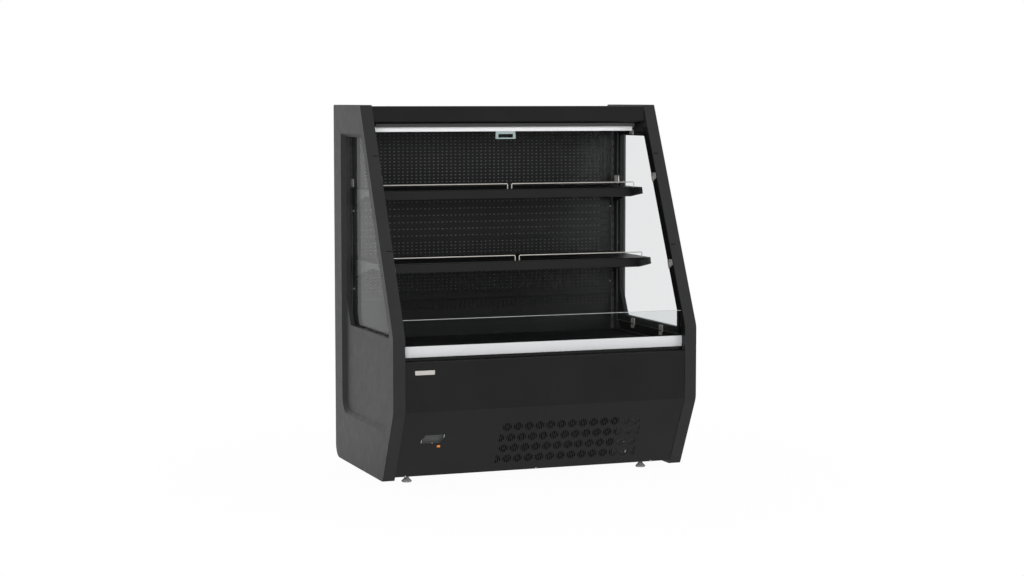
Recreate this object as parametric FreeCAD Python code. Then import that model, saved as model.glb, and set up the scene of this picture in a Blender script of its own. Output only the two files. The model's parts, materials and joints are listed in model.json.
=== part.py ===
"""Plug-in open multideck display fridge, semi-vertical.

X runs across the cabinet, Y from its front to its back and Z up from the floor. While the pieces are drawn,
Y = 0 is the front plane of the end walls; the export moves the origin to the middle of the floor rectangle.
"""
import FreeCAD, Part
import math
import os

from FreeCAD import Placement, Rotation, Vector

os.makedirs("parts", exist_ok=True)

# ---------------------------------------------------------------- driving dimensions, mm
# Cabinet
overall_width = 1220.0
overall_depth = 775.0
wall_height = 1400.0        # end wall from its lower edge to its top edge
floor_gap = 24.0            # floor to the lower edge of the end walls
top_depth = 367.0           # front to back length of the end wall's top edge
knee_height = 554.0         # up the end wall: the nose starts to lean back here
bend_height = 275.0         # up the end wall: the toe leans back below here
toe_setback = 140.0
sheet = 1.5                 # folded sheet metal
running_gap = 0.3           # between pieces that move against each other
foam = 40.0                 # insulated panels

# End wall moulding
wall_thickness = 47.0
knee_radius = 60.0
heel_radius = 50.0
corner_radius = 8.0
recess_depth = 15.0
recess_rear = 99.0          # recess edges, measured in from the wall's own edges
recess_top = 110.0
recess_slope = 38.0
recess_nose = 46.0
recess_bottom = 190.0
recess_radius = 62.0
window_rear = 116.0
window_top = 124.0
window_slope = 60.0
window_nose = 100.0
window_bottom = 542.0
window_corner_run = 55.0
window_corner_rise = 108.0
notch_heights = (860.0, 1209.0)
notch_width = 19.0
notch_height = 4.0
notch_depth = 8.0
notch_inset = 4.5

# Side glass
pane_thickness = 14.0       # sealed double glazing
pane_rear = 105.0
pane_top = 108.0
pane_slope = 30.0
pane_nose = 30.0
pane_bottom = 508.0
pane_radius = 40.0
pane_clearance = 1.0

# Side glass clips: where they hold, and the strap's shape
clip_bottom_places = (223.0, 497.0)     # along the pane's lower edge
clip_top_place = 524.0
clip_low_height = 793.0                 # up the end wall, on the leaning edge
clip_high_drop = 274.0                  # down from the end wall's top, on the leaning edge
clip_rear_drop = 290.0
clip_length = 42.0
clip_width = 15.0
clip_strap = 2.5
clip_rise = 14.0
clip_low_loop = (-16.0, -7.0)           # raised loops along the strap, from the pane's edge
clip_high_loop = (1.0, 13.0)
clip_bend = 1.0

# Feet and base frame
foot_diameter = 39.0
foot_rim = 5.0
foot_bevel = 2.0
foot_height = 18.0
foot_side = 79.0            # inner side of the end wall to the foot's axis
foot_front = 240.0
foot_rear_gap = 75.0        # foot's axis to the rear edge
stud_radius = 5.0
stud_collar = 3.5
bush_wall = 4.0
frame_bottom = 44.0
frame_rail = 30.0
frame_wall = 2.0

# Insulated body
tub_floor = 340.0           # underside of the tub
tub_front = 45.0
tub_front_top = 494.0
tub_outer_radius = 20.0
tub_inner_radius = 25.0
back_skin = 8.0             # end wall's rear edge to the back panel's outer skin
drain_radius = 14.0

# Canopy
fascia_height = 61.5
fascia_lean = 18.0
fascia_drop = 4.5           # end wall top to fascia top
fascia_return = 22.0
fascia_bend = 2.0
lamp_width = 24.0
lamp_height = 14.0
lamp_gap = 3.0              # blind cassette to lamp
lamp_end_gap = 40.0
lens_inset = 2.0
lens_radius = 6.0
outlet_depth = 62.0
outlet_height = 20.0
outlet_drop = 35.0          # roof's underside to the honeycomb's lower face
outlet_gap = 5.0            # lamp to honeycomb
outlet_cells = 44
outlet_rib = 3.0

# Night blind
cassette_end_gap = 25.0
cassette_depth = 46.0
cassette_setback = 28.0     # end wall's top front corner to the cassette
cassette_drop = 37.5        # roof's underside to the lower edge of its front wall
cassette_rear_rise = 5.0
roller_radius = 15.0
roller_drop = 4.0           # roof's underside to the rolled fabric
roller_end_gap = 5.0
journal_radius = 4.0
journal_end_gap = 0.2
rail_height = 18.3
rail_depth = 13.0
rail_front_share = 0.6      # of its depth, ahead of the fabric
rail_front_radius = 4.0
rail_rear_radius = 2.0
groove_depth = 3.0
groove_half_width = 2.0
hem_seat = 0.5              # hem to the groove's floor
blind_thickness = 0.8
blind_end_gap = 8.0
handle_top_width = 80.0
handle_bottom_width = 84.0
handle_height = 29.5
handle_bar = 5.0
handle_low_web = 11.0
handle_top_web = 9.5
handle_top_bar = 10.3
handle_thickness = 6.0
handle_radius = 2.0
handle_inner_radius = 1.5

# Air duct, uprights
duct_depth = 29.0           # insulated back to the duct panel's face
duct_seam = 647.0
duct_seam_gap = 2.0
duct_overlap = 8.0
duct_lap = 3.0
duct_side_gap = 1.1         # duct panel to upright
upright_width = 13.4
upright_proud = 2.0
upright_foot_gap = 1.0
slot_pitch = 34.0
slot_height = 17.0
slot_width = 4.4
slot_end_gap = 8.0
slot_anchor_drop = 20.0     # lower shelf's top to the lower edge of the slot behind it
screw_radius = 3.2
screw_head = 2.0
duct_screw_heights = (699.0, 1007.0)

# Shelves
shelf_rear_gap = 3.5
shelf_top_upper = 1097.0
shelf_top_lower = 822.5
shelf_setback_upper = 154.7     # behind the opening's plane at the shelf's height
shelf_setback_lower = 202.1
tray_flange = 24.0
tray_bend = 1.5
bracket_thickness = 2.0
bracket_heel = 78.0
bracket_tip = 22.0
bracket_nose_gap = 12.0
bracket_taper = 90.0
bracket_heel_radius = 12.0
bracket_nose_radius = 5.0
bracket_taper_radius = 40.0
hook_search_drop = 26.0     # shelf top to the level that its upper hook looks for
hook_neck = 8.0
hook_drop = 5.0
hook_radius = 2.0
price_rail_height = 36.0
price_rail_lean = 7.0
price_rail_lip = 9.5
price_rail_gap = 3.9        # rail end to the end wall
wire_radius = 2.0
wire_bend = 5.0
stop_height = 22.0
stop_setback = 15.0
stop_middle_gap = 21.0
stop_end_gap = 34.5

# Deck and air return
deck_top = 500.0
deck_front = 118.0
deck_flange = 20.0
deck_bend = 1.5
deck_middle_gap = 0.5
return_slots = 38
return_slot_width = 12.0
return_slot_length = 46.0
return_end_gap = 20.0

# Front nose: glass, channel, bumper
bumper_front = 29.0
bumper_bottom = 498.4
bumper_height = 41.1
bumper_thickness = 7.0
bumper_bow = 2.5
channel_wall = 1.8
channel_height = 34.0
channel_setback = 1.0
front_glass_thickness = 6.0
front_glass_top = 637.0
front_glass_end_gap = 1.0
front_glass_radius = 1.5
glass_fit = 0.3
nose_lip = 7.0

# Lower front panel
panel_setback = 2.0
panel_top = 484.5
panel_bottom = 38.0
panel_return = 22.0
panel_bend = 1.0
panel_end_gap = 0.5
panel_screw_gaps = (40.0, 83.0)     # end walls to the outer two screws
panel_screw_rise = 2.5

# Ventilation grille: slots that fill discs, every second row shifted by half a pitch
disc_diameter = 38.0
disc_pitch = 43.8
disc_row_pitch = 49.1
disc_rows = 4
disc_columns = 13
disc_first_x = -149.3
disc_first_drop = 88.7      # bend line to the first row, down the slant
vent_slot_width = 4.0
vent_slot_pitch = 7.4
vent_bridge = 5.0

# Controller and power switch, drops measured down the slant from the bend line
controller_side = 124.0     # left end wall to the controller's middle
controller_drop = 125.0
controller_width = 89.0
controller_height = 38.0
controller_cut_run = 15.0   # slanted corners, upper left and lower right
controller_cut_rise = 22.0
controller_recess = 9.0
controller_depth = 60.0
controller_collar = 3.0
controller_radius = 1.5
display_margin = 5.0
display_share = 0.6
display_recess = 1.0
key_count = 3
key_width = 9.0
key_height = 6.0
key_pitch = 13.0
key_end_gap = 14.0
key_travel = 0.8
key_rise = 1.5
key_depth = 4.0
key_bevel = 0.6
switch_offset = 27.0        # controller's middle to the switch's
switch_drop = 157.0
switch_width = 15.0
switch_height = 13.0
switch_wall = 1.2
switch_flange = 1.5
switch_depth = 20.0
rocker_tilt = 8.0           # either way from level, degrees
rocker_radius = 9.0
rocker_pin_radius = 1.2
rocker_pin_depth = 5.0      # behind the panel's face

# Panel cutters reach this far out of and into the sheet
cut_ahead = 5.0
cut_behind = 10.0

# Fans
shaft_radius = 3.0
shaft_fit = 0.1
blade_count = 5
blade_half_thickness = 1.0
blade_root = (0.8, 52.0, 1.1)       # reach and chord as shares of the hub's radius, angle in degrees
blade_tip = (24.0, 0.62)            # angle in degrees, chord as a share of the fan's radius

# Condenser and its fan
condenser_left = -125.0
condenser_side = 218.0      # coil to the right end wall
condenser_height = 240.0
condenser_front = 150.0
condenser_depth = 44.0
condenser_gaps = 26
condenser_fan_diameter = 200.0
condenser_fan_depth = 34.0
condenser_hub_radius = 24.0
condenser_fan_gap = 5.0     # coil to fan
shroud_clearance = 6.0
shroud_wall = 2.0
shroud_run_out = 12.0       # ring's reach beyond the fan
motor_radius = 28.0
motor_length = 40.0
motor_seat = 6.0
motor_arms = 3
arm_width = 10.0
arm_thickness = 4.0

# Evaporator and its fans
evaporator_side = 83.0      # coil to each end wall
evaporator_front = 320.0
evaporator_depth = 240.0
evaporator_height = 90.0
evaporator_gaps = 24
evaporator_fan_x = 230.0
evaporator_fan_diameter = 100.0
evaporator_fan_depth = 24.0
evaporator_blade_depth = 20.0
evaporator_hub_radius = 16.0
evaporator_fan_lead = 2.0   # fan ahead of its plate
evaporator_fan_clearance = 4.0
fan_plate_front = 210.0
fan_plate_return = 25.0
bridge_thickness = 2.0
bridge_leg = 4.0
bridge_height = 16.0
bridge_inset = 0.5
bridge_motor_radius = 20.0
bridge_motor_length = 26.0
bridge_shaft_lead = 4.0

# Finned coils
fin_share = 0.4             # groove's share of the fin pitch
fin_frame = 6.0
fin_core = (0.35, 0.65)     # solid middle of the coil, as shares of its depth

# Compressor and pipes
compressor_side = 233.0     # left end wall to the compressor's axis
compressor_y = 500.0
compressor_radius = 78.0
compressor_height = 190.0
compressor_seam = 3.0
dome_shoulder = (0.7, 0.95)     # where the lid turns flat, as shares of radius and height
compressor_plate_reach = 14.0
compressor_lift = 8.0
compressor_plate = 4.0
grommet_radius = 9.0
pipe_radius = 4.0
pipe_bend = 14.0
pipe_clearance = 60.0       # discharge line behind the coil's middle
pipe_coil_drop = 30.0
suction_offset = (-20.0, 30.0)
suction_step = 80.0
suction_drop = 30.0

# Electrical box, drip tray
box_side = 40.0
box_width = 150.0
box_front = 300.0
box_depth = 80.0
box_height = 110.0
lid_thickness = 4.0
lid_reach = 2.0
boss_radius = 9.0
boss_length = 10.0
boss_heights = (30.0, 75.0)
drip_offset = 60.0          # drain behind the evaporator's middle
drip_tray_shift = 40.0
drip_tray_width = 300.0
drip_tray_depth = 220.0
drip_tray_height = 45.0
drip_tray_wall = 3.0
drip_tray_radius = 18.0

# Rear cover and mains gland
rear_cover_recess = 22.0
louvre_banks = 3
louvre_bank_pitch = 330.0
louvre_length = 260.0
louvre_height = 9.0
louvre_pitch = 28.0
louvre_rows = 7
louvre_low = 100.0
louvre_gland_gap = 40.0     # no louvre in the gland's bank lower than this above it
gland_side = 113.0
gland_z = 120.0
gland_radius = 11.0
gland_flange = 4.0
gland_flange_thickness = 3.0
gland_cap = 12.0
gland_bore = 4.5
gland_inside = 10.0

# ---------------------------------------------------------------- derived places
half_width = overall_width / 2
inner_x = half_width - wall_thickness
wall_top = floor_gap + wall_height
knee_z = floor_gap + knee_height
bend_z = floor_gap + bend_height
slope_run = overall_depth - top_depth
slope_angle = math.atan2(slope_run, wall_height - knee_height)
toe_angle = math.atan2(toe_setback, bend_height)
back_rear = overall_depth - back_skin
back_front = back_rear - foam
fascia_top = wall_top - fascia_drop
roof_top = fascia_top - 2 * sheet
roof_bottom = roof_top - foam
fascia_bottom = fascia_top - fascia_height
tub_inside = tub_floor + foam
cassette_front = slope_run + cassette_setback
cassette_rear = cassette_front + cassette_depth
cassette_half = inner_x - cassette_end_gap
cassette_lip = roof_bottom - cassette_drop
lamp_front = cassette_rear + lamp_gap
outlet_front = lamp_front + lamp_width + outlet_gap
outlet_bottom = roof_bottom - outlet_drop
outlet_top = outlet_bottom + outlet_height
duct_front = back_front - duct_depth
duct_half_width = inner_x - upright_width - duct_side_gap
foot_rear = overall_depth - foot_rear_gap
condenser_right = inner_x - condenser_side
condenser_x = (condenser_left + condenser_right) / 2
condenser_rear = condenser_front + condenser_depth
condenser_low = frame_bottom + frame_rail + frame_wall
condenser_fan_z = condenser_low + condenser_height / 2
evaporator_half = inner_x - evaporator_side
fan_plate_rear = fan_plate_front + frame_wall
evaporator_fan_z = tub_inside + (deck_top - sheet - tub_inside) / 2
compressor_x = -inner_x + compressor_side
drip_x = condenser_right
drip_y = evaporator_front + evaporator_depth / 2 + drip_offset
controller_x = -inner_x + controller_side
switch_x = controller_x + switch_offset
gland_x = -inner_x + gland_side
cover_front = overall_depth - rear_cover_recess - sheet


# ---------------------------------------------------------------- drawing helpers
def yz(x):
    return lambda u, v: Vector(x, u, v)


def xz(y):
    return lambda u, v: Vector(u, y, v)


def xy(z):
    return lambda u, v: Vector(u, v, z)


def outline(points, radii, place):
    """Closed wire through 2-D points, with each corner rounded by its own radius (0 leaves it sharp)."""
    if isinstance(radii, (int, float)):
        radii = [radii] * len(points)
    corners = []
    for i, (point, radius) in enumerate(zip(points, radii)):
        here = Vector(point[0], point[1], 0)
        before = Vector(*points[i - 1], 0) - here
        after = Vector(*points[(i + 1) % len(points)], 0) - here
        if radius <= 0:
            corners.append((here, None, here))
            continue
        half = before.getAngle(after) / 2
        back = radius / math.tan(half)
        start = here + before.normalize() * back
        end = here + after.normalize() * back
        bisector = (before + after).normalize()
        middle = here + bisector * (radius / math.sin(half) - radius)
        corners.append((start, middle, end))

    def put(vector):
        return place(vector.x, vector.y)

    edges = []
    for i, (start, middle, end) in enumerate(corners):
        if middle is not None:
            edges.append(Part.Arc(put(start), put(middle), put(end)).toShape())
        following = corners[(i + 1) % len(corners)][0]
        if end.distanceToPoint(following) > 1e-4:
            edges.append(Part.makeLine(put(end), put(following)))
    return Part.Wire(edges)


def prism(points, radii, place, length):
    """Solid made by pushing an outline along its plane's own axis by length."""
    wire = outline(points, radii, place)
    zero = place(0, 0)
    normal = (place(1, 0) - zero).cross(place(0, 1) - zero)
    if abs(normal.y) > 0.5:
        normal = Vector(0, 1, 0)
    return Part.Face(wire).extrude(normal * length)


def bar(x0, x1, y0, y1, z0, z1):
    return Part.makeBox(x1 - x0, y1 - y0, z1 - z0, Vector(x0, y0, z0))


def rod(radius, start, end):
    return Part.makeCylinder(radius, (end - start).Length, start, end - start)


def mirrored(shape):
    return shape.mirror(Vector(0, 0, 0), Vector(1, 0, 0))


def group(shapes):
    return Part.makeCompound([solid for shape in shapes for solid in shape.Solids])


def line_meet(a, b):
    """Crossing of two lines, each given as (point, direction)."""
    (px, py), (dx, dy) = a
    (qx, qy), (ex, ey) = b
    t = ((qx - px) * ey - (qy - py) * ex) / (dx * ey - dy * ex)
    return (px + t * dx, py + t * dy)


def inset(points, distances):
    """Polygon with each edge (from point i to i + 1, counter-clockwise) moved inward by its distance."""
    lines = []
    for i, distance in enumerate(distances):
        (x0, y0), (x1, y1) = points[i], points[(i + 1) % len(points)]
        length = math.hypot(x1 - x0, y1 - y0)
        dx, dy = (x1 - x0) / length, (y1 - y0) / length
        lines.append(((x0 - dy * distance, y0 + dx * distance), (dx, dy)))
    return [line_meet(lines[i - 1], lines[i]) for i in range(len(lines))]


def folded(path, bend, place, length, thickness=sheet):
    """Sheet of one thickness folded along an open path; the path is the face to the left of its run."""
    count = len(path)
    steps = []
    for (x0, y0), (x1, y1) in zip(path, path[1:]):
        size = math.hypot(x1 - x0, y1 - y0)
        steps.append(((x1 - x0) / size, (y1 - y0) / size))
    far = []
    for i, (x, y) in enumerate(path):
        first = steps[max(i - 1, 0)]
        second = steps[min(i, count - 2)]
        nx, ny = first[1] + second[1], -first[0] - second[0]
        scale = thickness / (1 + first[0] * second[0] + first[1] * second[1])
        far.append((x + nx * scale, y + ny * scale))
    near_radii, far_radii = [0.0] * count, [0.0] * count
    for i in range(1, count - 1):
        left_turn = steps[i - 1][0] * steps[i][1] - steps[i - 1][1] * steps[i][0] > 0
        outer = bend + thickness if bend > 0 else 0.0
        near_radii[i] = bend if left_turn else outer
        far_radii[i] = outer if left_turn else bend
    return prism(path + far[::-1], near_radii + far_radii[::-1], place, length)


def hollow_rail(start, end, axis):
    """Square tube of the base frame between two corners, open at both ends of its axis."""
    outer = bar(start[0], end[0], start[1], end[1], start[2], end[2])
    grow = {"x": (1, 0, 0), "y": (0, 1, 0)}[axis]
    low = [s + (0 if g else frame_wall) - g for s, g in zip(start, grow)]
    high = [e - (0 if g else frame_wall) + g for e, g in zip(end, grow)]
    return outer.cut(bar(low[0], high[0], low[1], high[1], low[2], high[2]))


def on_slant(shape):
    """Moves a piece drawn on an upright panel (bend line at z = 0, face at y = 0) on to the leaning panel."""
    lean = Rotation(Vector(1, 0, 0), math.degrees(toe_angle))
    panel_bend_y = panel_setback
    moved = shape.copy()
    moved.Placement = Placement(Vector(0, panel_bend_y, bend_z), lean).multiply(shape.Placement)
    return moved


def slope_y(z, setback=0.0):
    """Distance behind the front plane of the leaning opening at height z."""
    return max(z - knee_z, 0.0) * math.tan(slope_angle) + setback


def round_tube(points, bend, radius):
    """Round bar through points: a cylinder along each run and a quarter of a ring at each square corner."""
    vectors = [Vector(*point) for point in points]
    shape = None
    start = vectors[0]
    for i, corner in enumerate(vectors[1:], 1):
        arrive = (corner - vectors[i - 1]).normalize()
        last = i == len(vectors) - 1
        stop = corner if last else corner - arrive * bend
        run = rod(radius, start, stop)
        shape = run if shape is None else shape.fuse(run)
        if not last:
            leave = (vectors[i + 1] - corner).normalize()
            centre = stop + leave * bend
            disc = Part.Face(Part.Wire(Part.makeCircle(radius, stop, arrive)))
            shape = shape.fuse(disc.revolve(centre, leave.cross(arrive), -90))
            start = corner + leave * bend
    return shape


# ---------------------------------------------------------------- end walls
# Edges of the profile in order: bottom, rear, top, slope, nose, toe
wall_points = [
    (toe_setback, floor_gap),
    (overall_depth, floor_gap),
    (overall_depth, wall_top),
    (slope_run, wall_top),
    (0.0, knee_z),
    (0.0, bend_z),
]
wall_radii = [corner_radius, heel_radius, corner_radius, corner_radius, knee_radius, knee_radius]
above_nose = [(0.0, floor_gap)] + wall_points[1:5]     # the profile without its toe


def end_wall():
    """Right-hand moulding: outer recess with soft sides, window, seat for the pane, notches in the slope."""
    wall = prism(wall_points, wall_radii, yz(inner_x), wall_thickness)
    wall = wall.cut(recess_cutter())
    wall = wall.cut(prism(window_points(), window_radii, yz(inner_x - 1), wall_thickness))
    seat = prism(pane_outline(-pane_clearance), pane_radii, yz(inner_x), pane_thickness + pane_clearance)
    wall = wall.cut(seat)
    for height in notch_heights:
        wall = wall.cut(notch(floor_gap + height))
    return wall


def recess_cutter():
    """Pocket whose sides run in at 45 degrees from the outer face to its floor."""
    distances = [recess_bottom, recess_rear, recess_top, recess_slope, recess_nose, recess_nose]
    soft = corner_radius * 1.5
    radii = [recess_radius * 0.5, recess_radius, soft, soft, knee_radius, knee_radius]
    wires = []
    for run_in in (-1.0, recess_depth):
        points = inset(wall_points, [distance + run_in for distance in distances])
        inner_radii = [max(radius - run_in, 2.0) for radius in radii]
        wires.append(outline(points, inner_radii, yz(half_width - run_in)))
    return Part.makeLoft(wires, True, True)


window_radii = [6.0, 14.0, 30.0, 6.0, 6.0, knee_radius]
pane_radii = [corner_radius, pane_radius, corner_radius, corner_radius, knee_radius]


def window_points():
    """Outline of the opening, with a slanted corner low at the rear."""
    distances = [window_bottom, window_rear, window_top, window_slope, window_nose]
    points = inset(above_nose, distances)
    rear, low = points[1]
    corner = [(rear - window_corner_run, low), (rear, low + window_corner_rise)]
    return [points[0]] + corner + points[2:]


def pane_outline(grow=0.0):
    """Outline of the pane, which reaches past the window; its seat, with a negative grow, is larger."""
    distances = [pane_bottom, pane_rear, pane_top, pane_slope, pane_nose]
    return inset(above_nose, [distance + grow for distance in distances])


def notch(z):
    low_x = inner_x + notch_inset
    y = slope_y(z)
    half = notch_height / 2
    return bar(low_x, low_x + notch_width, y - notch_depth, y + notch_depth, z - half, z + half)


def side_glass():
    return prism(pane_outline(), pane_radii, yz(inner_x), pane_thickness)


def clip_places():
    """Middle of each clip on the pane's edge, and how far it is turned from a flat edge, in degrees."""
    (_, low_z), (rear_y, _), (_, top_z) = pane_outline()[:3]
    places = [(y, low_z, 0.0) for y in clip_bottom_places]
    places.append((clip_top_place, top_z, 0.0))
    places.append((rear_y, wall_top - clip_rear_drop, 90.0))
    for z in (floor_gap + clip_low_height, wall_top - clip_high_drop):
        places.append((slope_y(z, pane_slope / math.cos(slope_angle)), z, math.degrees(-slope_angle)))
    return places


def clip():
    """Strap with two raised loops: the lower one stands on the wall, the upper one over the pane's edge."""
    half = clip_length / 2
    path = [(-half, 0.0)]
    for start, end in (clip_low_loop, clip_high_loop):
        path += [(start, 0.0), (start, -clip_rise), (end, -clip_rise), (end, 0.0)]
    path.append((half, 0.0))
    strap = folded(path, clip_bend, lambda u, v: Vector(v, 0, u), clip_width, clip_strap)
    return strap.translated(Vector(0, -clip_width / 2, 0))


def glass_clips():
    pieces = []
    for y, z, turn in clip_places():
        piece = clip()
        piece.rotate(Vector(0, 0, 0), Vector(1, 0, 0), turn)
        piece.translate(Vector(inner_x, y, z))
        pieces.append(piece)
    return group(pieces + [mirrored(piece) for piece in pieces])


# ---------------------------------------------------------------- base frame and feet
def foot_places():
    x = inner_x - foot_side
    return {"front_left": (-x, foot_front), "front_right": (x, foot_front),
            "rear_left": (-x, foot_rear), "rear_right": (x, foot_rear)}


def base_frame():
    """Four square tubes in a rectangle, a plate for the cooling unit, and a bushed hole for each foot."""
    top = frame_bottom + frame_rail
    half = frame_rail / 2
    frame = None
    for y in (foot_front, foot_rear):
        rail = hollow_rail((-inner_x, y - half, frame_bottom), (inner_x, y + half, top), "x")
        frame = rail if frame is None else frame.fuse(rail)
    for side in (-1, 1):
        outer, inner = side * inner_x, side * (inner_x - frame_rail)
        low, high = min(outer, inner), max(outer, inner)
        rail = hollow_rail((low, foot_front + half, frame_bottom), (high, foot_rear - half, top), "y")
        frame = frame.fuse(rail)
    plate = bar(-inner_x, inner_x, condenser_front - frame_wall, foot_rear + half, top, top + frame_wall)
    frame = frame.fuse(plate)
    for x, y in foot_places().values():
        bush = Part.makeCylinder(stud_radius + bush_wall, frame_rail, Vector(x, y, frame_bottom))
        frame = frame.fuse(bush)
    for x, y in foot_places().values():
        low = Vector(x, y, frame_bottom)
        bore = Part.makeCylinder(stud_radius + running_gap, frame_rail - frame_wall, low)
        frame = frame.cut(bore)
    return frame.removeSplitter()


def foot(x, y):
    """Levelling foot: low cone with a rim, a nut collar and a stud that goes up into the frame."""
    rim = foot_diameter / 2
    stud_top = frame_bottom + frame_rail * 0.8
    collar = stud_radius + stud_collar
    profile = [(0, 0), (rim - foot_bevel, 0), (rim, foot_bevel), (rim, foot_rim),
               (collar + foot_bevel, foot_height - 2 * foot_bevel), (collar, foot_height),
               (stud_radius, foot_height), (stud_radius, stud_top), (0, stud_top)]
    face = Part.Face(Part.makePolygon([Vector(u, 0, v) for u, v in profile + profile[:1]]))
    return face.revolve(Vector(0, 0, 0), Vector(0, 0, 1), 360).translated(Vector(x, y, 0))


# ---------------------------------------------------------------- insulated body
def insulated_tub():
    """Foam-filled trough under the deck: front nose, floor with a drain, meets the back panel."""
    nose_rear = tub_front + foam
    points = [(tub_front, tub_floor), (back_rear, tub_floor), (back_rear, tub_inside),
              (nose_rear, tub_inside), (nose_rear, tub_front_top), (tub_front, tub_front_top)]
    radii = [tub_outer_radius, 0, 0, tub_inner_radius, running_gap, running_gap]
    tub = prism(points, radii, yz(-inner_x), 2 * inner_x)
    drain = Part.makeCylinder(drain_radius, foam + 2, Vector(drip_x, drip_y, tub_floor - 1))
    return tub.cut(drain)


def insulated_back():
    return bar(-inner_x, inner_x, back_front, back_rear, tub_inside, roof_bottom)


def roof_panel():
    front_top = slope_y(roof_top, fascia_return)
    points = [(front_top, roof_bottom), (back_rear, roof_bottom),
              (back_rear, roof_top), (front_top, roof_top)]
    return prism(points, 0, yz(-inner_x), 2 * inner_x)


# ---------------------------------------------------------------- canopy
def fascia_front(z):
    """Front face of the fascia: its top edge lies on the opening's plane."""
    top_y = slope_y(fascia_top)
    return top_y - (fascia_top - z) * fascia_lean / fascia_height


def canopy_fascia():
    """Front strip of the roof, leaning in at its foot, with a return at its top and foot."""
    high_y, low_y = fascia_front(fascia_top), fascia_front(fascia_bottom)
    path = [(low_y + fascia_return, fascia_bottom), (low_y, fascia_bottom),
            (high_y, fascia_top), (high_y + fascia_return, fascia_top)]
    return folded(path, fascia_bend, yz(-inner_x), 2 * inner_x, 2 * sheet)


def led_lamp():
    """Shallow channel under the roof with a convex diffuser."""
    half = inner_x - lamp_end_gap
    middle = roof_bottom - lamp_height * 0.4
    body = bar(-half, half, lamp_front, lamp_front + lamp_width, middle, roof_bottom)
    front, rear = lamp_front + lens_inset, lamp_front + lamp_width - lens_inset
    low = roof_bottom - lamp_height
    corners = [(front, low), (rear, low), (rear, middle), (front, middle)]
    lens = prism(corners, [lens_radius, lens_radius, 0, 0],
                 yz(-half + lens_inset), 2 * (half - lens_inset))
    return group([body, lens])


def air_outlet():
    """Honeycomb strip: two staggered rows of through cells, with an upstand to the roof at its front."""
    half = inner_x
    strip = bar(-half, half, outlet_front, outlet_front + outlet_depth, outlet_bottom, outlet_top)
    upstand = bar(-half, half, outlet_front, outlet_front + sheet, outlet_top, roof_bottom)
    pitch = (2 * half - 2 * outlet_rib) / outlet_cells
    row_depth = (outlet_depth - 3 * outlet_rib) / 2
    cells = []
    for row in range(2):
        y0 = outlet_front + outlet_rib + row * (row_depth + outlet_rib)
        count = outlet_cells - row
        for i in range(count):
            x0 = -half + outlet_rib + pitch * (i + row / 2)
            cells.append(bar(x0 + outlet_rib / 2, x0 + pitch - outlet_rib / 2, y0, y0 + row_depth,
                             outlet_bottom - 1, outlet_top + 1))
    return strip.cut(Part.makeCompound(cells)).fuse(upstand)


def canopy_lining():
    """Sheet that closes the top duct between the honeycomb and the back duct, with a lip up to the roof."""
    y0 = outlet_front + outlet_depth
    path = [(duct_front, outlet_bottom + sheet), (y0, outlet_bottom + sheet), (y0, outlet_top)]
    return folded(path, panel_bend, yz(-inner_x), 2 * inner_x)


# ---------------------------------------------------------------- night blind
roller_y = cassette_front + cassette_depth / 2
roller_z = roof_bottom - roller_drop - roller_radius


def blind_y(z):
    """Where the pulled-out fabric is at height z: it leaves the roller's rear, parallel to the opening."""
    touch_y = roller_y + roller_radius * math.cos(slope_angle)
    touch_z = roller_z - roller_radius * math.sin(slope_angle)
    return touch_y - (touch_z - z) * math.tan(slope_angle)


def blind_cassette():
    """Folded channel, open below, with an end plate each side that carries the roller's journals."""
    rear_low = cassette_lip + cassette_rear_rise
    path = [(cassette_front, cassette_lip), (cassette_front, roof_bottom),
            (cassette_rear, roof_bottom), (cassette_rear, rear_low)]
    channel = folded(path, panel_bend, yz(-cassette_half), 2 * cassette_half)
    for side in (-1, 1):
        x0 = side * cassette_half - (frame_wall if side > 0 else 0)
        x1 = x0 + frame_wall
        plate = bar(x0, x1, cassette_front + sheet, cassette_rear - sheet, rear_low, roof_bottom - sheet)
        bore = rod(journal_radius + shaft_fit, Vector(x0 - 1, roller_y, roller_z),
                   Vector(x1 + 1, roller_y, roller_z))
        channel = channel.fuse(plate.cut(bore))
    return channel.removeSplitter()


def blind_roller():
    """Tube with the rolled fabric on it, on a journal at each end."""
    half = cassette_half - roller_end_gap
    left, right = Vector(-half, roller_y, roller_z), Vector(half, roller_y, roller_z)
    tube = rod(roller_radius - running_gap, left, right)
    tip = cassette_half - journal_end_gap
    axle = rod(journal_radius, Vector(-tip, roller_y, roller_z), Vector(tip, roller_y, roller_z))
    return tube.fuse(axle)


rail_top = cassette_lip - running_gap
rail_bottom = rail_top - rail_height
rail_y = blind_y(rail_top)


def blind_rail():
    """Extruded pull bar with a softly rounded front and a groove that holds the fabric's hem."""
    half = cassette_half
    front = rail_y - rail_depth * rail_front_share
    rear = front + rail_depth
    points = [(front, rail_bottom), (rear, rail_bottom), (rear, rail_top), (front, rail_top)]
    radii = [rail_front_radius, rail_rear_radius, rail_rear_radius, rail_front_radius]
    rail = prism(points, radii, yz(-half), 2 * half)
    groove = bar(-half - 1, half + 1, rail_y - groove_half_width, rail_y + groove_half_width,
                 rail_top - groove_depth, rail_top + 1)
    return rail.cut(groove)


def blind_fabric():
    """The stretch of fabric that shows between the roller and the pull rail when the blind is up."""
    half = cassette_half - blind_end_gap
    low_z = rail_top - groove_depth + hem_seat
    high_z = roller_z - roller_radius * math.sin(slope_angle)
    thick = blind_thickness
    points = [(blind_y(low_z), low_z), (blind_y(low_z) + thick, low_z),
              (blind_y(high_z) + thick, high_z), (blind_y(high_z), high_z)]
    return prism(points, 0, yz(-half), 2 * half)


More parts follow.
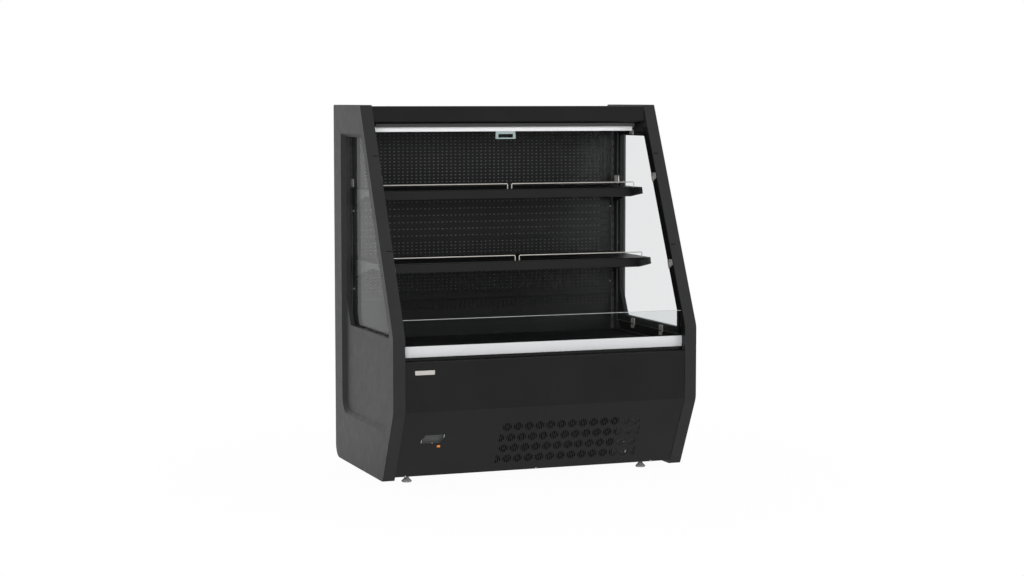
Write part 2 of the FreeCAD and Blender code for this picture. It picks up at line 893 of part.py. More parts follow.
def blind_handle():
    """Loop handle under the rail, wider at its grip than at its root."""
    top, low = rail_bottom, rail_bottom - handle_height
    half_top, half_low = handle_top_width / 2, handle_bottom_width / 2
    outer = [(-half_low, low), (half_low, low), (half_top, top), (-half_top, top)]
    hole_low, hole_top = half_low - handle_low_web, half_top - handle_top_web
    inner = [(-hole_low, low + handle_bar), (hole_low, low + handle_bar),
             (hole_top, top - handle_top_bar), (-hole_top, top - handle_top_bar)]
    y0 = rail_y - handle_thickness / 2
    ring = prism(outer, [handle_radius, handle_radius, 0, 0], xz(y0), handle_thickness)
    return ring.cut(prism(inner, handle_inner_radius, xz(y0 - 1), handle_thickness + 2))


# ---------------------------------------------------------------- back duct, uprights, screws
def duct_panel(x_half, front, z0, z1):
    """Sheet with side returns that hold it off the insulated back."""
    path = [(x_half, back_front), (x_half, front), (-x_half, front), (-x_half, back_front)]
    return folded(path, panel_bend, xy(z0), z1 - z0)


def duct_panel_upper():
    return duct_panel(duct_half_width, duct_front, duct_seam, outlet_bottom + sheet)


def duct_panel_lower():
    """Stands a little forward and runs down behind the deck to the tub."""
    face, top = duct_front - duct_lap, duct_seam - duct_seam_gap
    panel = duct_panel(duct_half_width, face, tub_inside, top)
    lap = bar(-duct_half_width, duct_half_width, face, face + sheet, top, duct_seam + duct_overlap)
    return panel.fuse(lap).removeSplitter()


upright_front = duct_front - upright_proud
upright_low = deck_top + upright_foot_gap


def slot_levels():
    """Lower edge of every slot; the shelves' brackets hook into two of them."""
    anchor = shelf_top_lower - slot_anchor_drop
    first = anchor - math.floor((anchor - upright_low - slot_end_gap) / slot_pitch) * slot_pitch
    count = int((outlet_bottom - slot_end_gap - slot_height - first) / slot_pitch) + 1
    return [first + i * slot_pitch for i in range(count)]


def uprights():
    """Slotted channels in the two rear corners."""
    x0, x1 = inner_x - upright_width, inner_x
    path = [(x1, back_front), (x1, upright_front), (x0, upright_front), (x0, back_front)]
    channel = folded(path, panel_bend, xy(upright_low), outlet_bottom - upright_low, frame_wall)
    middle = (x0 + x1) / 2
    slots = []
    for z in slot_levels():
        slots.append(bar(middle - slot_width / 2, middle + slot_width / 2,
                         upright_front - 1, upright_front + frame_wall + 1, z, z + slot_height))
    channel = channel.cut(Part.makeCompound(slots))
    return group([channel, mirrored(channel)])


def screws():
    """Round-headed screws: four in the duct panel and three along the lower front panel's edge."""
    pieces = []
    for z in duct_screw_heights:
        for side in (-1, 1):
            x = side * (duct_half_width - screw_radius)
            pieces.append(rod(screw_radius, Vector(x, duct_front, z), Vector(x, duct_front - screw_head, z)))
    drop = (bend_z - panel_bottom) / math.cos(toe_angle) - panel_screw_rise
    left_gap, right_gap = panel_screw_gaps
    for x in (left_gap - inner_x, 0.0, inner_x - right_gap):
        head = rod(screw_radius, Vector(x, 0, -drop), Vector(x, -screw_head, -drop))
        pieces.append(on_slant(head))
    return group(pieces)


# ---------------------------------------------------------------- shelves
def nearest_slot(z):
    return min(slot_levels(), key=lambda level: abs(level - z))


bracket_inner_x = inner_x - upright_width / 2 - bracket_thickness / 2
shelf_rear = upright_front - shelf_rear_gap
shelves = {"upper": (shelf_top_upper, slope_y(shelf_top_upper, shelf_setback_upper)),
           "lower": (shelf_top_lower, slope_y(shelf_top_lower, shelf_setback_lower))}


def tray(top, front):
    """Shelf plate folded down at its front and rear, with side flanges between the brackets."""
    low = top - tray_flange
    path = [(front + sheet, low), (front + sheet, top), (shelf_rear, top), (shelf_rear, low)]
    half = bracket_inner_x
    plate = folded(path, tray_bend, yz(-half), 2 * half)
    for side in (-1, 1):
        x0 = side * half - (sheet if side > 0 else 0)
        flange = bar(x0, x0 + sheet, front + 2 * sheet, shelf_rear - sheet, low, top - sheet)
        plate = plate.fuse(flange)
    return plate.removeSplitter()


def brackets(top, front):
    """Tapered side plates; two hooks on each pass through the upright's slots and drop behind its face."""
    tip_z, heel_z, edge_z = top - bracket_tip, top - bracket_heel, top - sheet
    nose_y = front + bracket_nose_gap
    side = yz(bracket_inner_x)
    outer = [(shelf_rear, heel_z), (shelf_rear, edge_z), (nose_y, edge_z), (nose_y, tip_z),
             (front + bracket_taper, tip_z)]
    radii = [bracket_heel_radius, 0, 0, bracket_nose_radius, bracket_taper_radius]
    plate = prism(outer, radii, side, bracket_thickness)
    root_y = shelf_rear - bracket_thickness
    near_y = upright_front + frame_wall + running_gap
    far_y = near_y + bracket_thickness
    upper = nearest_slot(top - hook_search_drop)
    for level in (upper, upper - slot_pitch):
        low, tip = level + running_gap, level - hook_drop
        high = low + hook_neck
        hook = [(root_y, low), (near_y, low), (near_y, tip), (far_y, tip), (far_y, high), (root_y, high)]
        plate = plate.fuse(prism(hook, [0, 0, 0, 0, hook_radius, 0], side, bracket_thickness))
    plate = plate.removeSplitter()
    return group([plate, mirrored(plate)])


def price_rail(top, front):
    """Ticket strip on the shelf's front: its face leans out at the foot, with a lip to hold a ticket."""
    half = inner_x - price_rail_gap
    low = top - price_rail_height
    foot_y = front - sheet - price_rail_lean
    path = [(foot_y + price_rail_lip, low), (foot_y, low), (front - sheet, top),
            (front + sheet, top), (front + sheet, top - tray_flange)]
    return folded(path, 0.0, yz(-half), 2 * half)


def wire_stops(top, front):
    """Two bent wires that stand along the front of the shelf and keep the products on it."""
    y = front + stop_setback
    high = top + stop_height - wire_radius
    near, far = stop_middle_gap / 2 - wire_radius, inner_x - stop_end_gap
    corners = [(near, y, top), (near, y, high), (far, y, high), (far, y, top)]
    wire = round_tube(corners, wire_bend, wire_radius)
    return group([wire, mirrored(wire)])


# ---------------------------------------------------------------- deck and return grille
def deck_trays():
    """Two pans side by side over the evaporator."""
    rear = duct_front - duct_lap
    pans = []
    low = deck_top - deck_flange
    path = [(deck_front, low), (deck_front, deck_top), (rear, deck_top), (rear, low)]
    for x0 in (-inner_x, deck_middle_gap):
        pans.append(folded(path, deck_bend, yz(x0), inner_x - deck_middle_gap))
    return group(pans)


def return_grille():
    """Slotted cover between the front glass and the deck, standing on the tub's nose."""
    y0 = bumper_front + bumper_thickness + channel_width()
    path = [(y0, tub_front_top), (y0, deck_top), (deck_front, deck_top), (deck_front, deck_top - deck_flange)]
    cover = folded(path, panel_bend, yz(-inner_x), 2 * inner_x)
    grille_half = inner_x - return_end_gap
    pitch = 2 * grille_half / return_slots
    half_x, half_y = return_slot_width / 2, return_slot_length / 2
    middle = (y0 + deck_front) / 2
    slots = []
    for i in range(return_slots):
        x = -grille_half + pitch * (i + 0.5)
        slots.append(bar(x - half_x, x + half_x, middle - half_y, middle + half_y,
                         deck_top - 2 * sheet, deck_top + sheet))
    return cover.cut(Part.makeCompound(slots))


# ---------------------------------------------------------------- front nose
def channel_width():
    return 2 * channel_wall + front_glass_thickness + 2 * glass_fit


def glass_channel():
    """U channel for the front glass; its foot rests on the tub and turns down as a lip below the bumper."""
    lip_front = bumper_front + channel_setback
    lip_rear = lip_front + channel_wall
    y0 = bumper_front + bumper_thickness
    y1 = y0 + channel_width()
    low = tub_front_top
    floor = low + channel_wall
    top = floor + channel_height
    u = [(lip_front, low - nose_lip), (lip_rear, low - nose_lip), (lip_rear, low), (y1, low), (y1, top),
         (y1 - channel_wall, top), (y1 - channel_wall, floor), (y0 + channel_wall, floor),
         (y0 + channel_wall, top), (y0, top), (y0, floor), (lip_front, floor)]
    return prism(u, 0, yz(-inner_x), 2 * inner_x)


def front_glass():
    y0 = bumper_front + bumper_thickness + channel_wall + glass_fit
    y1 = y0 + front_glass_thickness
    low = tub_front_top + channel_wall
    half = inner_x - front_glass_end_gap
    points = [(y0, low), (y1, low), (y1, front_glass_top), (y0, front_glass_top)]
    return prism(points, [0, 0, front_glass_radius, front_glass_radius], yz(-half), 2 * half)


def front_bumper():
    """Silver profile with a gently bowed face, pressed on to the front of the glass channel."""
    put = yz(-inner_x)
    edge_y, rear_y = bumper_front + bumper_bow, bumper_front + bumper_thickness
    low, high = bumper_bottom, bumper_bottom + bumper_height
    bow = Part.Arc(put(edge_y, low), put(bumper_front, (low + high) / 2), put(edge_y, high)).toShape()
    sides = Part.makePolygon([put(edge_y, high), put(rear_y, high), put(rear_y, low), put(edge_y, low)])
    return Part.Face(Part.Wire([bow] + sides.Edges)).extrude(Vector(2 * inner_x, 0, 0))


# ---------------------------------------------------------------- lower front panel
def lower_front_panel():
    """Sheet folded back at its top and foot, leaning in below the bend, with the grille and two cut-outs."""
    low_y = panel_setback + (bend_z - panel_bottom) * math.tan(toe_angle)
    path = [(panel_setback + panel_return, panel_top), (panel_setback, panel_top), (panel_setback, bend_z),
            (low_y, panel_bottom), (low_y + panel_return, panel_bottom)]
    half = inner_x - panel_end_gap
    panel = folded(path[::-1], panel_bend, yz(-half), 2 * half)
    cutters = vent_slots() + [controller_opening(), switch_opening()]
    return panel.cut(Part.makeCompound([on_slant(cutter) for cutter in cutters]))


def vent_slots():
    """Upright slots whose lengths fill a disc; the middle one is split by a bridge."""
    radius = disc_diameter / 2
    slots = []
    for row in range(disc_rows):
        drop = disc_first_drop + row * disc_row_pitch
        shifted = row % 2 == 1
        count = disc_columns + (1 if shifted else 0)
        for column in range(count):
            x = disc_first_x + disc_pitch * (column - (0.5 if shifted else 0.0))
            sides = [-1, 0, 1]
            if shifted and column == 0:
                sides.remove(-1)
            if shifted and column == count - 1:
                sides.remove(1)
            slots += disc_slots(x, drop, radius, sides)
    return slots


def disc_slots(x, drop, radius, sides):
    half_slot = vent_slot_width / 2
    slots = []
    for step in range(-2, 3):
        side = (step > 0) - (step < 0)
        if side not in sides:
            continue
        edge = abs(step) * vent_slot_pitch + half_slot
        reach = math.sqrt(radius ** 2 - edge ** 2)
        spans = [(-reach, reach)] if step else [(-reach, -vent_bridge / 2), (vent_bridge / 2, reach)]
        x0 = x + step * vent_slot_pitch - half_slot
        for low, high in spans:
            slots.append(bar(x0, x0 + vent_slot_width, -cut_ahead, cut_behind, -drop + low, -drop + high))
    return slots


def controller_outline(grow):
    """Window of the controller: a rectangle with its upper left and lower right corners cut."""
    left, right = controller_x - controller_width / 2 - grow, controller_x + controller_width / 2 + grow
    low = -controller_drop - controller_height / 2 - grow
    high = -controller_drop + controller_height / 2 + grow
    run, rise = controller_cut_run, controller_cut_rise
    return [(left, low), (right - run, low), (right, low + rise), (right, high),
            (left + run, high), (left, high - rise)]


def controller_opening():
    return prism(controller_outline(0.0), controller_radius, xz(-cut_ahead), cut_ahead + cut_behind)


def switch_opening():
    half_w, half_h = switch_width / 2, switch_height / 2
    return bar(switch_x - half_w, switch_x + half_w, -cut_ahead, cut_behind,
               -switch_drop - half_h, -switch_drop + half_h)


# ---------------------------------------------------------------- controller and power switch
def key_places():
    last = controller_x + controller_width / 2 - key_end_gap
    return [(last - i * key_pitch, -controller_drop) for i in reversed(range(key_count))]


controller_face = sheet + controller_recess
key_well = key_depth + key_travel + running_gap


def controller_body():
    """Box behind the window: collar against the panel, recessed face with a display and key holes."""
    face = controller_face
    collar = prism(controller_outline(controller_collar), controller_radius, xz(sheet),
                   controller_recess + controller_collar)
    throat = prism(controller_outline(0.0), controller_radius, xz(0.0), face)
    half_w, half_h = controller_width / 2 - controller_collar, controller_height / 2 - controller_collar
    left = controller_x - half_w
    case = bar(left, controller_x + half_w, face, controller_depth,
               -controller_drop - half_h, -controller_drop + half_h)
    body = collar.cut(throat).fuse(case)
    hole_w, hole_h = key_width / 2 + running_gap, key_height / 2 + running_gap
    for x, z in key_places():
        body = body.cut(bar(x - hole_w, x + hole_w, face - 1, face + key_well, z - hole_h, z + hole_h))
    display_x = key_places()[0][0] - key_pitch
    display_half = half_h * display_share
    display = bar(left + display_margin, display_x, face - 1, face + display_recess,
                  -controller_drop - display_half, -controller_drop + display_half)
    return on_slant(body.cut(display).removeSplitter())


def controller_key(index):
    """Rectangular key that stands out of the controller's face and sinks by its travel."""
    x, z = key_places()[index]
    front = controller_face - key_rise
    half_w, half_h = key_width / 2, key_height / 2
    key = bar(x - half_w, x + half_w, front, controller_face + key_depth, z - half_h, z + half_h)
    crown = [edge for edge in key.Edges if all(abs(v.Y - front) < 1e-6 for v in edge.Vertexes)]
    return on_slant(key.makeChamfer(key_bevel, crown))


def switch_housing():
    """Sleeve with a flange on the panel; two small bosses inside carry the rocker's pin."""
    def block(grow, front, rear):
        half_w, half_h = switch_width / 2 + grow, switch_height / 2 + grow
        return bar(switch_x - half_w, switch_x + half_w, front, rear,
                   -switch_drop - half_h, -switch_drop + half_h)

    sleeve = block(0.0, -switch_wall, switch_depth)
    flange = block(switch_flange, -switch_wall, 0.0)
    hollow = block(-switch_wall, -2 * switch_wall, switch_depth - switch_wall)
    reach = (switch_width - switch_wall) / 2
    pin = rod(rocker_pin_radius, Vector(switch_x - reach, rocker_pin_depth, -switch_drop),
              Vector(switch_x + reach, rocker_pin_depth, -switch_drop))
    return on_slant(sleeve.fuse(flange).cut(hollow).fuse(pin).removeSplitter())


def switch_rocker():
    """Two-sided rocker key, stored tipped one way, with a bore on the housing's pin."""
    z, y = -switch_drop, rocker_pin_depth
    half_w = switch_width / 2 - switch_wall - running_gap
    half_h = switch_height / 2 - switch_wall - 4 * running_gap
    crown_y, dip_y, heel_y = y - 0.9 * rocker_radius, y - 0.73 * rocker_radius, y + rocker_radius / 3
    points = [(crown_y, z - half_h), (heel_y, z - half_h * 0.5), (heel_y, z + half_h * 0.5),
              (crown_y, z + half_h), (dip_y, z)]
    radii = [key_bevel] * 4 + [key_height / 2]
    key = prism(points, radii, yz(switch_x - half_w), 2 * half_w)
    bore = rod(rocker_pin_radius + shaft_fit, Vector(switch_x - half_w - 1, y, z),
               Vector(switch_x + half_w + 1, y, z))
    key = key.cut(bore)
    key.rotate(Vector(0, y, z), Vector(1, 0, 0), rocker_tilt)
    return on_slant(key)


# ---------------------------------------------------------------- fans
def fan(diameter, depth, hub_radius):
    """Axial fan on the Y axis at the origin: bored hub and twisted blades lofted from root to tip."""
    hub = rod(hub_radius, Vector(0, 0, 0), Vector(0, depth, 0))
    radius = diameter / 2
    root_reach, root_angle, root_chord = blade_root
    tip_angle, tip_chord = blade_tip
    sections = ((hub_radius * root_reach, root_angle, hub_radius * root_chord),
                (radius, tip_angle, radius * tip_chord))
    wires = []
    for reach, angle, chord in sections:
        turn = math.radians(angle)
        along = Vector(math.cos(turn), math.sin(turn), 0) * (chord / 2)
        across = Vector(-math.sin(turn), math.cos(turn), 0) * blade_half_thickness
        middle = Vector(0, depth / 2, reach)
        near, far = middle - along, middle + along
        corners = [near - across, far - across, far + across, near + across]
        wires.append(Part.makePolygon(corners + corners[:1]))
    blade = Part.makeLoft(wires, True, True)
    wheel = hub
    for i in range(blade_count):
        turned = blade.copy()
        turned.rotate(Vector(0, 0, 0), Vector(0, 1, 0), 360.0 * i / blade_count)
        wheel = wheel.fuse(turned)
    slab = rod(radius * 1.2, Vector(0, 0, 0), Vector(0, depth, 0))
    bore = rod(shaft_radius + shaft_fit, Vector(0, -1, 0), Vector(0, depth + 1, 0))
    return wheel.common(slab).cut(bore)


def finned_block(x0, x1, y0, depth, z0, height, gaps):
    """Coil between two end plates: grooves from the front and the rear leave the fins and a solid core."""
    block = bar(x0, x1, y0, y0 + depth, z0, z0 + height)
    pitch = (x1 - x0) / gaps
    front_core, rear_core = y0 + depth * fin_core[0], y0 + depth * fin_core[1]
    grooves = []
    for i in range(gaps):
        g0 = x0 + pitch * (i + (1 - fin_share) / 2)
        for low, high in ((y0 - 1, front_core), (rear_core, y0 + depth + 1)):
            g1 = g0 + pitch * fin_share
            grooves.append(bar(g0, g1, low, high, z0 + fin_frame, z0 + height - fin_frame))
    return block.cut(Part.makeCompound(grooves))


def condenser_coil():
    return finned_block(condenser_left, condenser_right, condenser_front, condenser_depth,
                        condenser_low, condenser_height, condenser_gaps)


def condenser_shroud():
    """Plate and ring round the fan behind the coil, with a motor held on three arms."""
    def at(y):
        return Vector(condenser_x, y, condenser_fan_z)

    radius = condenser_fan_diameter / 2 + shroud_clearance
    front = condenser_rear
    back = front + condenser_fan_depth + shroud_run_out
    plate = bar(condenser_left, condenser_right, front, front + sheet,
                condenser_low, condenser_low + condenser_height)
    shroud = plate.fuse(rod(radius + shroud_wall, at(front), at(back)))
    shroud = shroud.cut(rod(radius, at(front - 1), at(back + 1)))
    for i in range(motor_arms):
        arm = bar(condenser_x - arm_width / 2, condenser_x + arm_width / 2, back - arm_thickness, back,
                  condenser_fan_z + motor_radius * 0.8, condenser_fan_z + radius + shroud_wall / 2)
        arm.rotate(at(back), Vector(0, 1, 0), 360.0 * i / motor_arms)
        shroud = shroud.fuse(arm)
    motor = rod(motor_radius, at(back - motor_seat), at(back + motor_length))
    shaft = rod(shaft_radius, at(front + condenser_fan_gap - 1.0), at(back))
    return shroud.fuse(motor).fuse(shaft).removeSplitter()


def condenser_fan():
    wheel = fan(condenser_fan_diameter, condenser_fan_depth, condenser_hub_radius)
    return wheel.translated(Vector(condenser_x, condenser_rear + condenser_fan_gap, condenser_fan_z))


def evaporator_fan_plate():
    """Wall across the tub that carries both fans and the deck; a bridge behind each holds its motor."""
    radius = evaporator_fan_diameter / 2 + evaporator_fan_clearance
    top = deck_top - sheet
    rear = fan_plate_front + fan_plate_return
    path = [(fan_plate_front, tub_inside), (fan_plate_front, top), (rear, top)]
    plate = folded(path, panel_bend, yz(-inner_x), 2 * inner_x)
    back = fan_plate_rear + evaporator_fan_depth
    bridge_rear = back + bridge_thickness
    low, high = evaporator_fan_z - bridge_height / 2, evaporator_fan_z + bridge_height / 2
    for x in (-evaporator_fan_x, evaporator_fan_x):
        def at(y):
            return Vector(x, y, evaporator_fan_z)

        plate = plate.cut(rod(radius, at(fan_plate_front - 1), at(fan_plate_rear + 1)))
        for x0 in (x - radius - bridge_leg, x + radius):
            leg_front = fan_plate_front + bridge_inset
            plate = plate.fuse(bar(x0, x0 + bridge_leg, leg_front, bridge_rear, low, high))
        plate = plate.fuse(bar(x - radius, x + radius, back, bridge_rear, low, high))
        motor = rod(bridge_motor_radius, at(back - bridge_thickness), at(back + bridge_motor_length))
        plate = plate.fuse(motor)
        plate = plate.fuse(rod(shaft_radius, at(fan_plate_front - bridge_shaft_lead), at(back)))
    return plate.removeSplitter()


def evaporator_fan(side):
    wheel = fan(evaporator_fan_diameter, evaporator_blade_depth, evaporator_hub_radius)
    place = Vector(side * evaporator_fan_x, fan_plate_front - evaporator_fan_lead, evaporator_fan_z)
    return wheel.translated(place)


# ---------------------------------------------------------------- cooling unit
def evaporator_coil():
    return finned_block(-evaporator_half, evaporator_half, evaporator_front, evaporator_depth,
                        tub_inside, evaporator_height, evaporator_gaps)


def compressor():
    """Hermetic compressor: domed can on a four-eared foot plate, with a stub for each line."""
    r, h = compressor_radius, compressor_height
    reach = r + compressor_plate_reach
    body = bar(-reach, reach, -r * 0.7, r * 0.7, compressor_lift, compressor_lift + compressor_plate)
    for side in (-1, 1):
        for end in (-1, 1):
            at = Vector(side * r, end * r * 0.5, 0)
            body = body.fuse(Part.makeCylinder(grommet_radius, compressor_lift, at))
    low, seam = compressor_lift + compressor_plate / 2, r + compressor_seam
    dome = [(0, low), (r * 0.8, low), (r, h * 0.18), (r, h * 0.55), (seam, h * 0.55), (seam, h * 0.58),
            (r, h * 0.58), (r * 0.96, h * 0.8), (r * dome_shoulder[0], h * dome_shoulder[1]), (0, h), (0, low)]
    face = Part.Face(Part.makePolygon([Vector(u, 0, v) for u, v in dome]))
    body = body.fuse(face.revolve(Vector(0, 0, 0), Vector(0, 0, 1), 360))
    return body.translated(Vector(compressor_x, compressor_y, condenser_low))


def refrigerant_pipes():
    """Discharge line from the compressor to the condenser, and suction line up to the tub's floor."""
    can_right = compressor_x + compressor_radius
    mid_x = (can_right + condenser_left) / 2
    line_z = condenser_low + compressor_height * 0.4
    high_z = condenser_low + condenser_height - pipe_coil_drop
    coil_y = condenser_front + condenser_depth / 2
    turn_y = coil_y + pipe_clearance
    discharge = [(can_right, compressor_y, line_z), (mid_x, compressor_y, line_z), (mid_x, turn_y, line_z),
                 (mid_x, turn_y, high_z), (mid_x, coil_y, high_z), (condenser_left, coil_y, high_z)]
    x, y = compressor_x + suction_offset[0], compressor_y + suction_offset[1]
    shoulder_reach, shoulder_rise = dome_shoulder
    dome_fall = compressor_height * (1 - shoulder_rise) / (compressor_radius * shoulder_reach)
    dome_z = condenser_low + compressor_height - dome_fall * (math.hypot(*suction_offset) - pipe_radius)
    turn_z = tub_floor - suction_drop
    y1 = y + suction_step
    suction = [(x, y, dome_z), (x, y, turn_z), (x, y1, turn_z), (x, y1, tub_floor)]
    return group([round_tube(points, pipe_bend, pipe_radius) for points in (discharge, suction)])


def electrical_box():
    """Junction box beside the controller, with a lid and two gland bosses on its side."""
    x0 = -inner_x + box_side
    x1 = x0 + box_width
    top = condenser_low + box_height
    box = bar(x0, x1, box_front, box_front + box_depth, condenser_low, top)
    box = box.fuse(bar(x0 - lid_reach, x1 + lid_reach, box_front - lid_thickness, box_front,
                       condenser_low + lid_thickness, top + lid_reach))
    for rise in boss_heights:
        start = Vector(x1 - 1, box_front + box_depth / 2, condenser_low + rise)
        box = box.fuse(rod(boss_radius, start, start + Vector(boss_length, 0, 0)))
    return box


def drip_tray():
    """Open pan under the tub's drain, on the base plate."""
    def block(wall):
        x, half_w, half_d = drip_x - drip_tray_shift, drip_tray_width / 2 - wall, drip_tray_depth / 2 - wall
        corners = [(x - half_w, drip_y - half_d), (x + half_w, drip_y - half_d),
                   (x + half_w, drip_y + half_d), (x - half_w, drip_y + half_d)]
        return prism(corners, drip_tray_radius - wall, xy(condenser_low + wall), drip_tray_height)

    return block(0.0).cut(block(drip_tray_wall))


def rear_cover():
    """Sheet behind the machine space with louvre slots and a hole for the mains gland."""
    cover = bar(-inner_x, inner_x, cover_front, cover_front + sheet, frame_bottom, tub_floor)
    slots = []
    for bank in range(louvre_banks):
        x0 = (bank - (louvre_banks - 1) / 2) * louvre_bank_pitch - louvre_length / 2
        for row in range(louvre_rows):
            z = louvre_low + row * louvre_pitch
            if bank > 0 or z > gland_z + louvre_gland_gap:
                slots.append(bar(x0, x0 + louvre_length, cover_front - 1, cover_front + sheet + 1,
                                 z, z + louvre_height))
    cover = cover.cut(Part.makeCompound(slots))
    return cover.cut(rod(gland_radius, gland_at(-1), gland_at(sheet + 1)))


def gland_at(offset):
    """Point on the gland's axis, offset from the cover's inner face."""
    return Vector(gland_x, cover_front + offset, gland_z)


def mains_gland():
    """Cable gland in the rear cover: flange, domed cap and a through bore."""
    cap_start = sheet + gland_flange_thickness
    body = rod(gland_radius, gland_at(-gland_inside), gland_at(sheet))
    flange = rod(gland_radius + gland_flange, gland_at(sheet), gland_at(cap_start))
    cap = Part.makeCone(gland_radius + 1, gland_radius - gland_flange, gland_cap,
                        gland_at(cap_start), Vector(0, 1, 0))
    bore = rod(gland_bore, gland_at(-gland_inside - 1), gland_at(cap_start + gland_cap + 1))
    return body.fuse(flange).fuse(cap).cut(bore)


# ---------------------------------------------------------------- the pieces
right_wall, right_glass = end_wall(), side_glass()
nodes = {
    "end_wall_right": right_wall,
    "end_wall_left": mirrored(right_wall),
    "side_glass_right": right_glass,
    "side_glass_left": mirrored(right_glass),
    "glass_clips": glass_clips(),
    "base_frame": base_frame(),
    "insulated_tub": insulated_tub(),
    "insulated_back": insulated_back(),
    "roof_panel": roof_panel(),
    "canopy_fascia": canopy_fascia(),
    "led_lamp": led_lamp(),
    "air_outlet": air_outlet(),
    "canopy_lining": canopy_lining(),
    "blind_cassette": blind_cassette(),
    "blind_roller": blind_roller(),
    "blind_rail": blind_rail(),
    "blind_fabric": blind_fabric(),
    "blind_handle": blind_handle(),
    "duct_panel_upper": duct_panel_upper(),
    "duct_panel_lower": duct_panel_lower(),
    "uprights": uprights(),
    "screws": screws(),
    "deck_trays": deck_trays(),
    "return_grille": return_grille(),
    "glass_channel": glass_channel(),
    "front_glass": front_glass(),
    "front_bumper": front_bumper(),
    "lower_front_panel": lower_front_panel(),
    "controller_body": controller_body(),
    "switch_housing": switch_housing(),
    "switch_rocker": switch_rocker(),
    "condenser_coil": condenser_coil(),
    "condenser_shroud": condenser_shroud(),
    "condenser_fan": condenser_fan(),
    "compressor": compressor(),
    "refrigerant_pipes": refrigerant_pipes(),
    "electrical_box": electrical_box(),
    "drip_tray": drip_tray(),
    "evaporator_coil": evaporator_coil(),
    "evaporator_fan_plate": evaporator_fan_plate(),
    "evaporator_fan_left": evaporator_fan(-1),
    "evaporator_fan_right": evaporator_fan(1),
    "rear_cover": rear_cover(),
    "mains_gland": mains_gland(),
}
for name, (x, y) in foot_places().items():
    nodes["foot_" + name] = foot(x, y)
for index in range(key_count):
    nodes["controller_key_%d" % (index + 1)] = controller_key(index)
for level, (top, front) in shelves.items():
    nodes["shelf_tray_" + level] = tray(top, front)
    nodes["shelf_brackets_" + level] = brackets(top, front)
    nodes["price_rail_" + level] = price_rail(top, front)
    nodes["wire_stops_" + level] = wire_stops(top, front)

for name, shape in nodes.items():
    placed = shape.translated(Vector(0, -overall_depth / 2, 0))
    placed.exportStep("parts/%s.step" % name)
    print("%-24s solids %2d  valid %s" % (name, len(placed.Solids), placed.isValid()))
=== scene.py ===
"""Plug-in open multideck display fridge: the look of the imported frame.

Metres, X across the cabinet, Y from its front (negative) to its back, Z up from the floor.
"""
import json
import math

import bmesh
import bpy
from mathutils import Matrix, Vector


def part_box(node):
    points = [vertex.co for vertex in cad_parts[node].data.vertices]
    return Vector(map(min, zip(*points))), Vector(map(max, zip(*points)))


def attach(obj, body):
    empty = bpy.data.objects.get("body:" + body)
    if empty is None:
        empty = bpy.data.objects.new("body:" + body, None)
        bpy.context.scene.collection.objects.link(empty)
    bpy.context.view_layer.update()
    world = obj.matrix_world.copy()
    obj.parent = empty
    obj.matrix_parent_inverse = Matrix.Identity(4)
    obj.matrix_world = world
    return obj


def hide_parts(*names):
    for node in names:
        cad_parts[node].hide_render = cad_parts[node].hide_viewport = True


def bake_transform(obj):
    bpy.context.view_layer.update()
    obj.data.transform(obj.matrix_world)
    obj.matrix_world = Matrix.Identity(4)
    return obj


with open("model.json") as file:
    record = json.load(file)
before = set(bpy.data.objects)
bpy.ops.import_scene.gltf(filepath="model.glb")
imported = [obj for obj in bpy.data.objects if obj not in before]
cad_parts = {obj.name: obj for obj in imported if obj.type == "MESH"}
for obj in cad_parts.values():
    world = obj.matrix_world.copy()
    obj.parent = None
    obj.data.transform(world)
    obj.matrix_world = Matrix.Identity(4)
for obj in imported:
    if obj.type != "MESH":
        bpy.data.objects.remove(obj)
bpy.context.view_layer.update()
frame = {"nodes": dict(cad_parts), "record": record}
nodes = frame["nodes"]
scene = bpy.context.scene
scene.view_settings.view_transform = "Standard"

# ---------------------------------------------------------------- camera, as the photograph was taken
camera_place = Vector((-2.9111, -7.8055, 1.4461))
camera_heading = Vector((0.34786, 0.93341, -0.08793))
lens = bpy.data.cameras.new("camera")
lens.lens = 75.23
lens.sensor_width = 36.0
lens.clip_end = 60.0
camera = bpy.data.objects.new("camera", lens)
camera.location = camera_place
camera.rotation_euler = camera_heading.to_track_quat("-Z", "Y").to_euler()
scene.collection.objects.link(camera)
scene.camera = camera


# ---------------------------------------------------------------- node trees
def adder(tree):
    """Function that adds one node: inputs by name or number, a socket as a value makes a link."""
    def add(kind, inputs=None, **settings):
        node = tree.nodes.new("ShaderNode" + kind)
        for key, value in settings.items():
            setattr(node, key, value)
        for key, value in (inputs or {}).items():
            socket = node.inputs[key]
            if isinstance(value, bpy.types.NodeSocket):
                tree.links.new(value, socket)
            else:
                socket.default_value = value
        return node
    return add


def start(name):
    """New material with an empty tree, and the function that adds nodes to it."""
    material = bpy.data.materials.new(name)
    material.use_nodes = True
    material.node_tree.nodes.clear()
    return material, adder(material.node_tree)


def math_node(add, operation, first, second=0.0, third=None):
    inputs = {0: first, 1: second}
    if third is not None:
        inputs[2] = third
    return add("Math", inputs, operation=operation).outputs[0]


def spread(add, value, low, high, from_low=0.3, from_high=0.7):
    """Takes a texture's middle range to low..high."""
    inputs = {"Value": value, "From Min": from_low, "From Max": from_high, "To Min": low, "To Max": high}
    return add("MapRange", inputs).outputs[0]


def noise(add, vector, scale, detail=3.0, roughness=0.55):
    inputs = {"Vector": vector, "Scale": scale, "Detail": detail, "Roughness": roughness}
    return add("TexNoise", inputs).outputs[0]


def stretched(add, vector, scale):
    return add("Mapping", {"Vector": vector, "Scale": scale}).outputs[0]


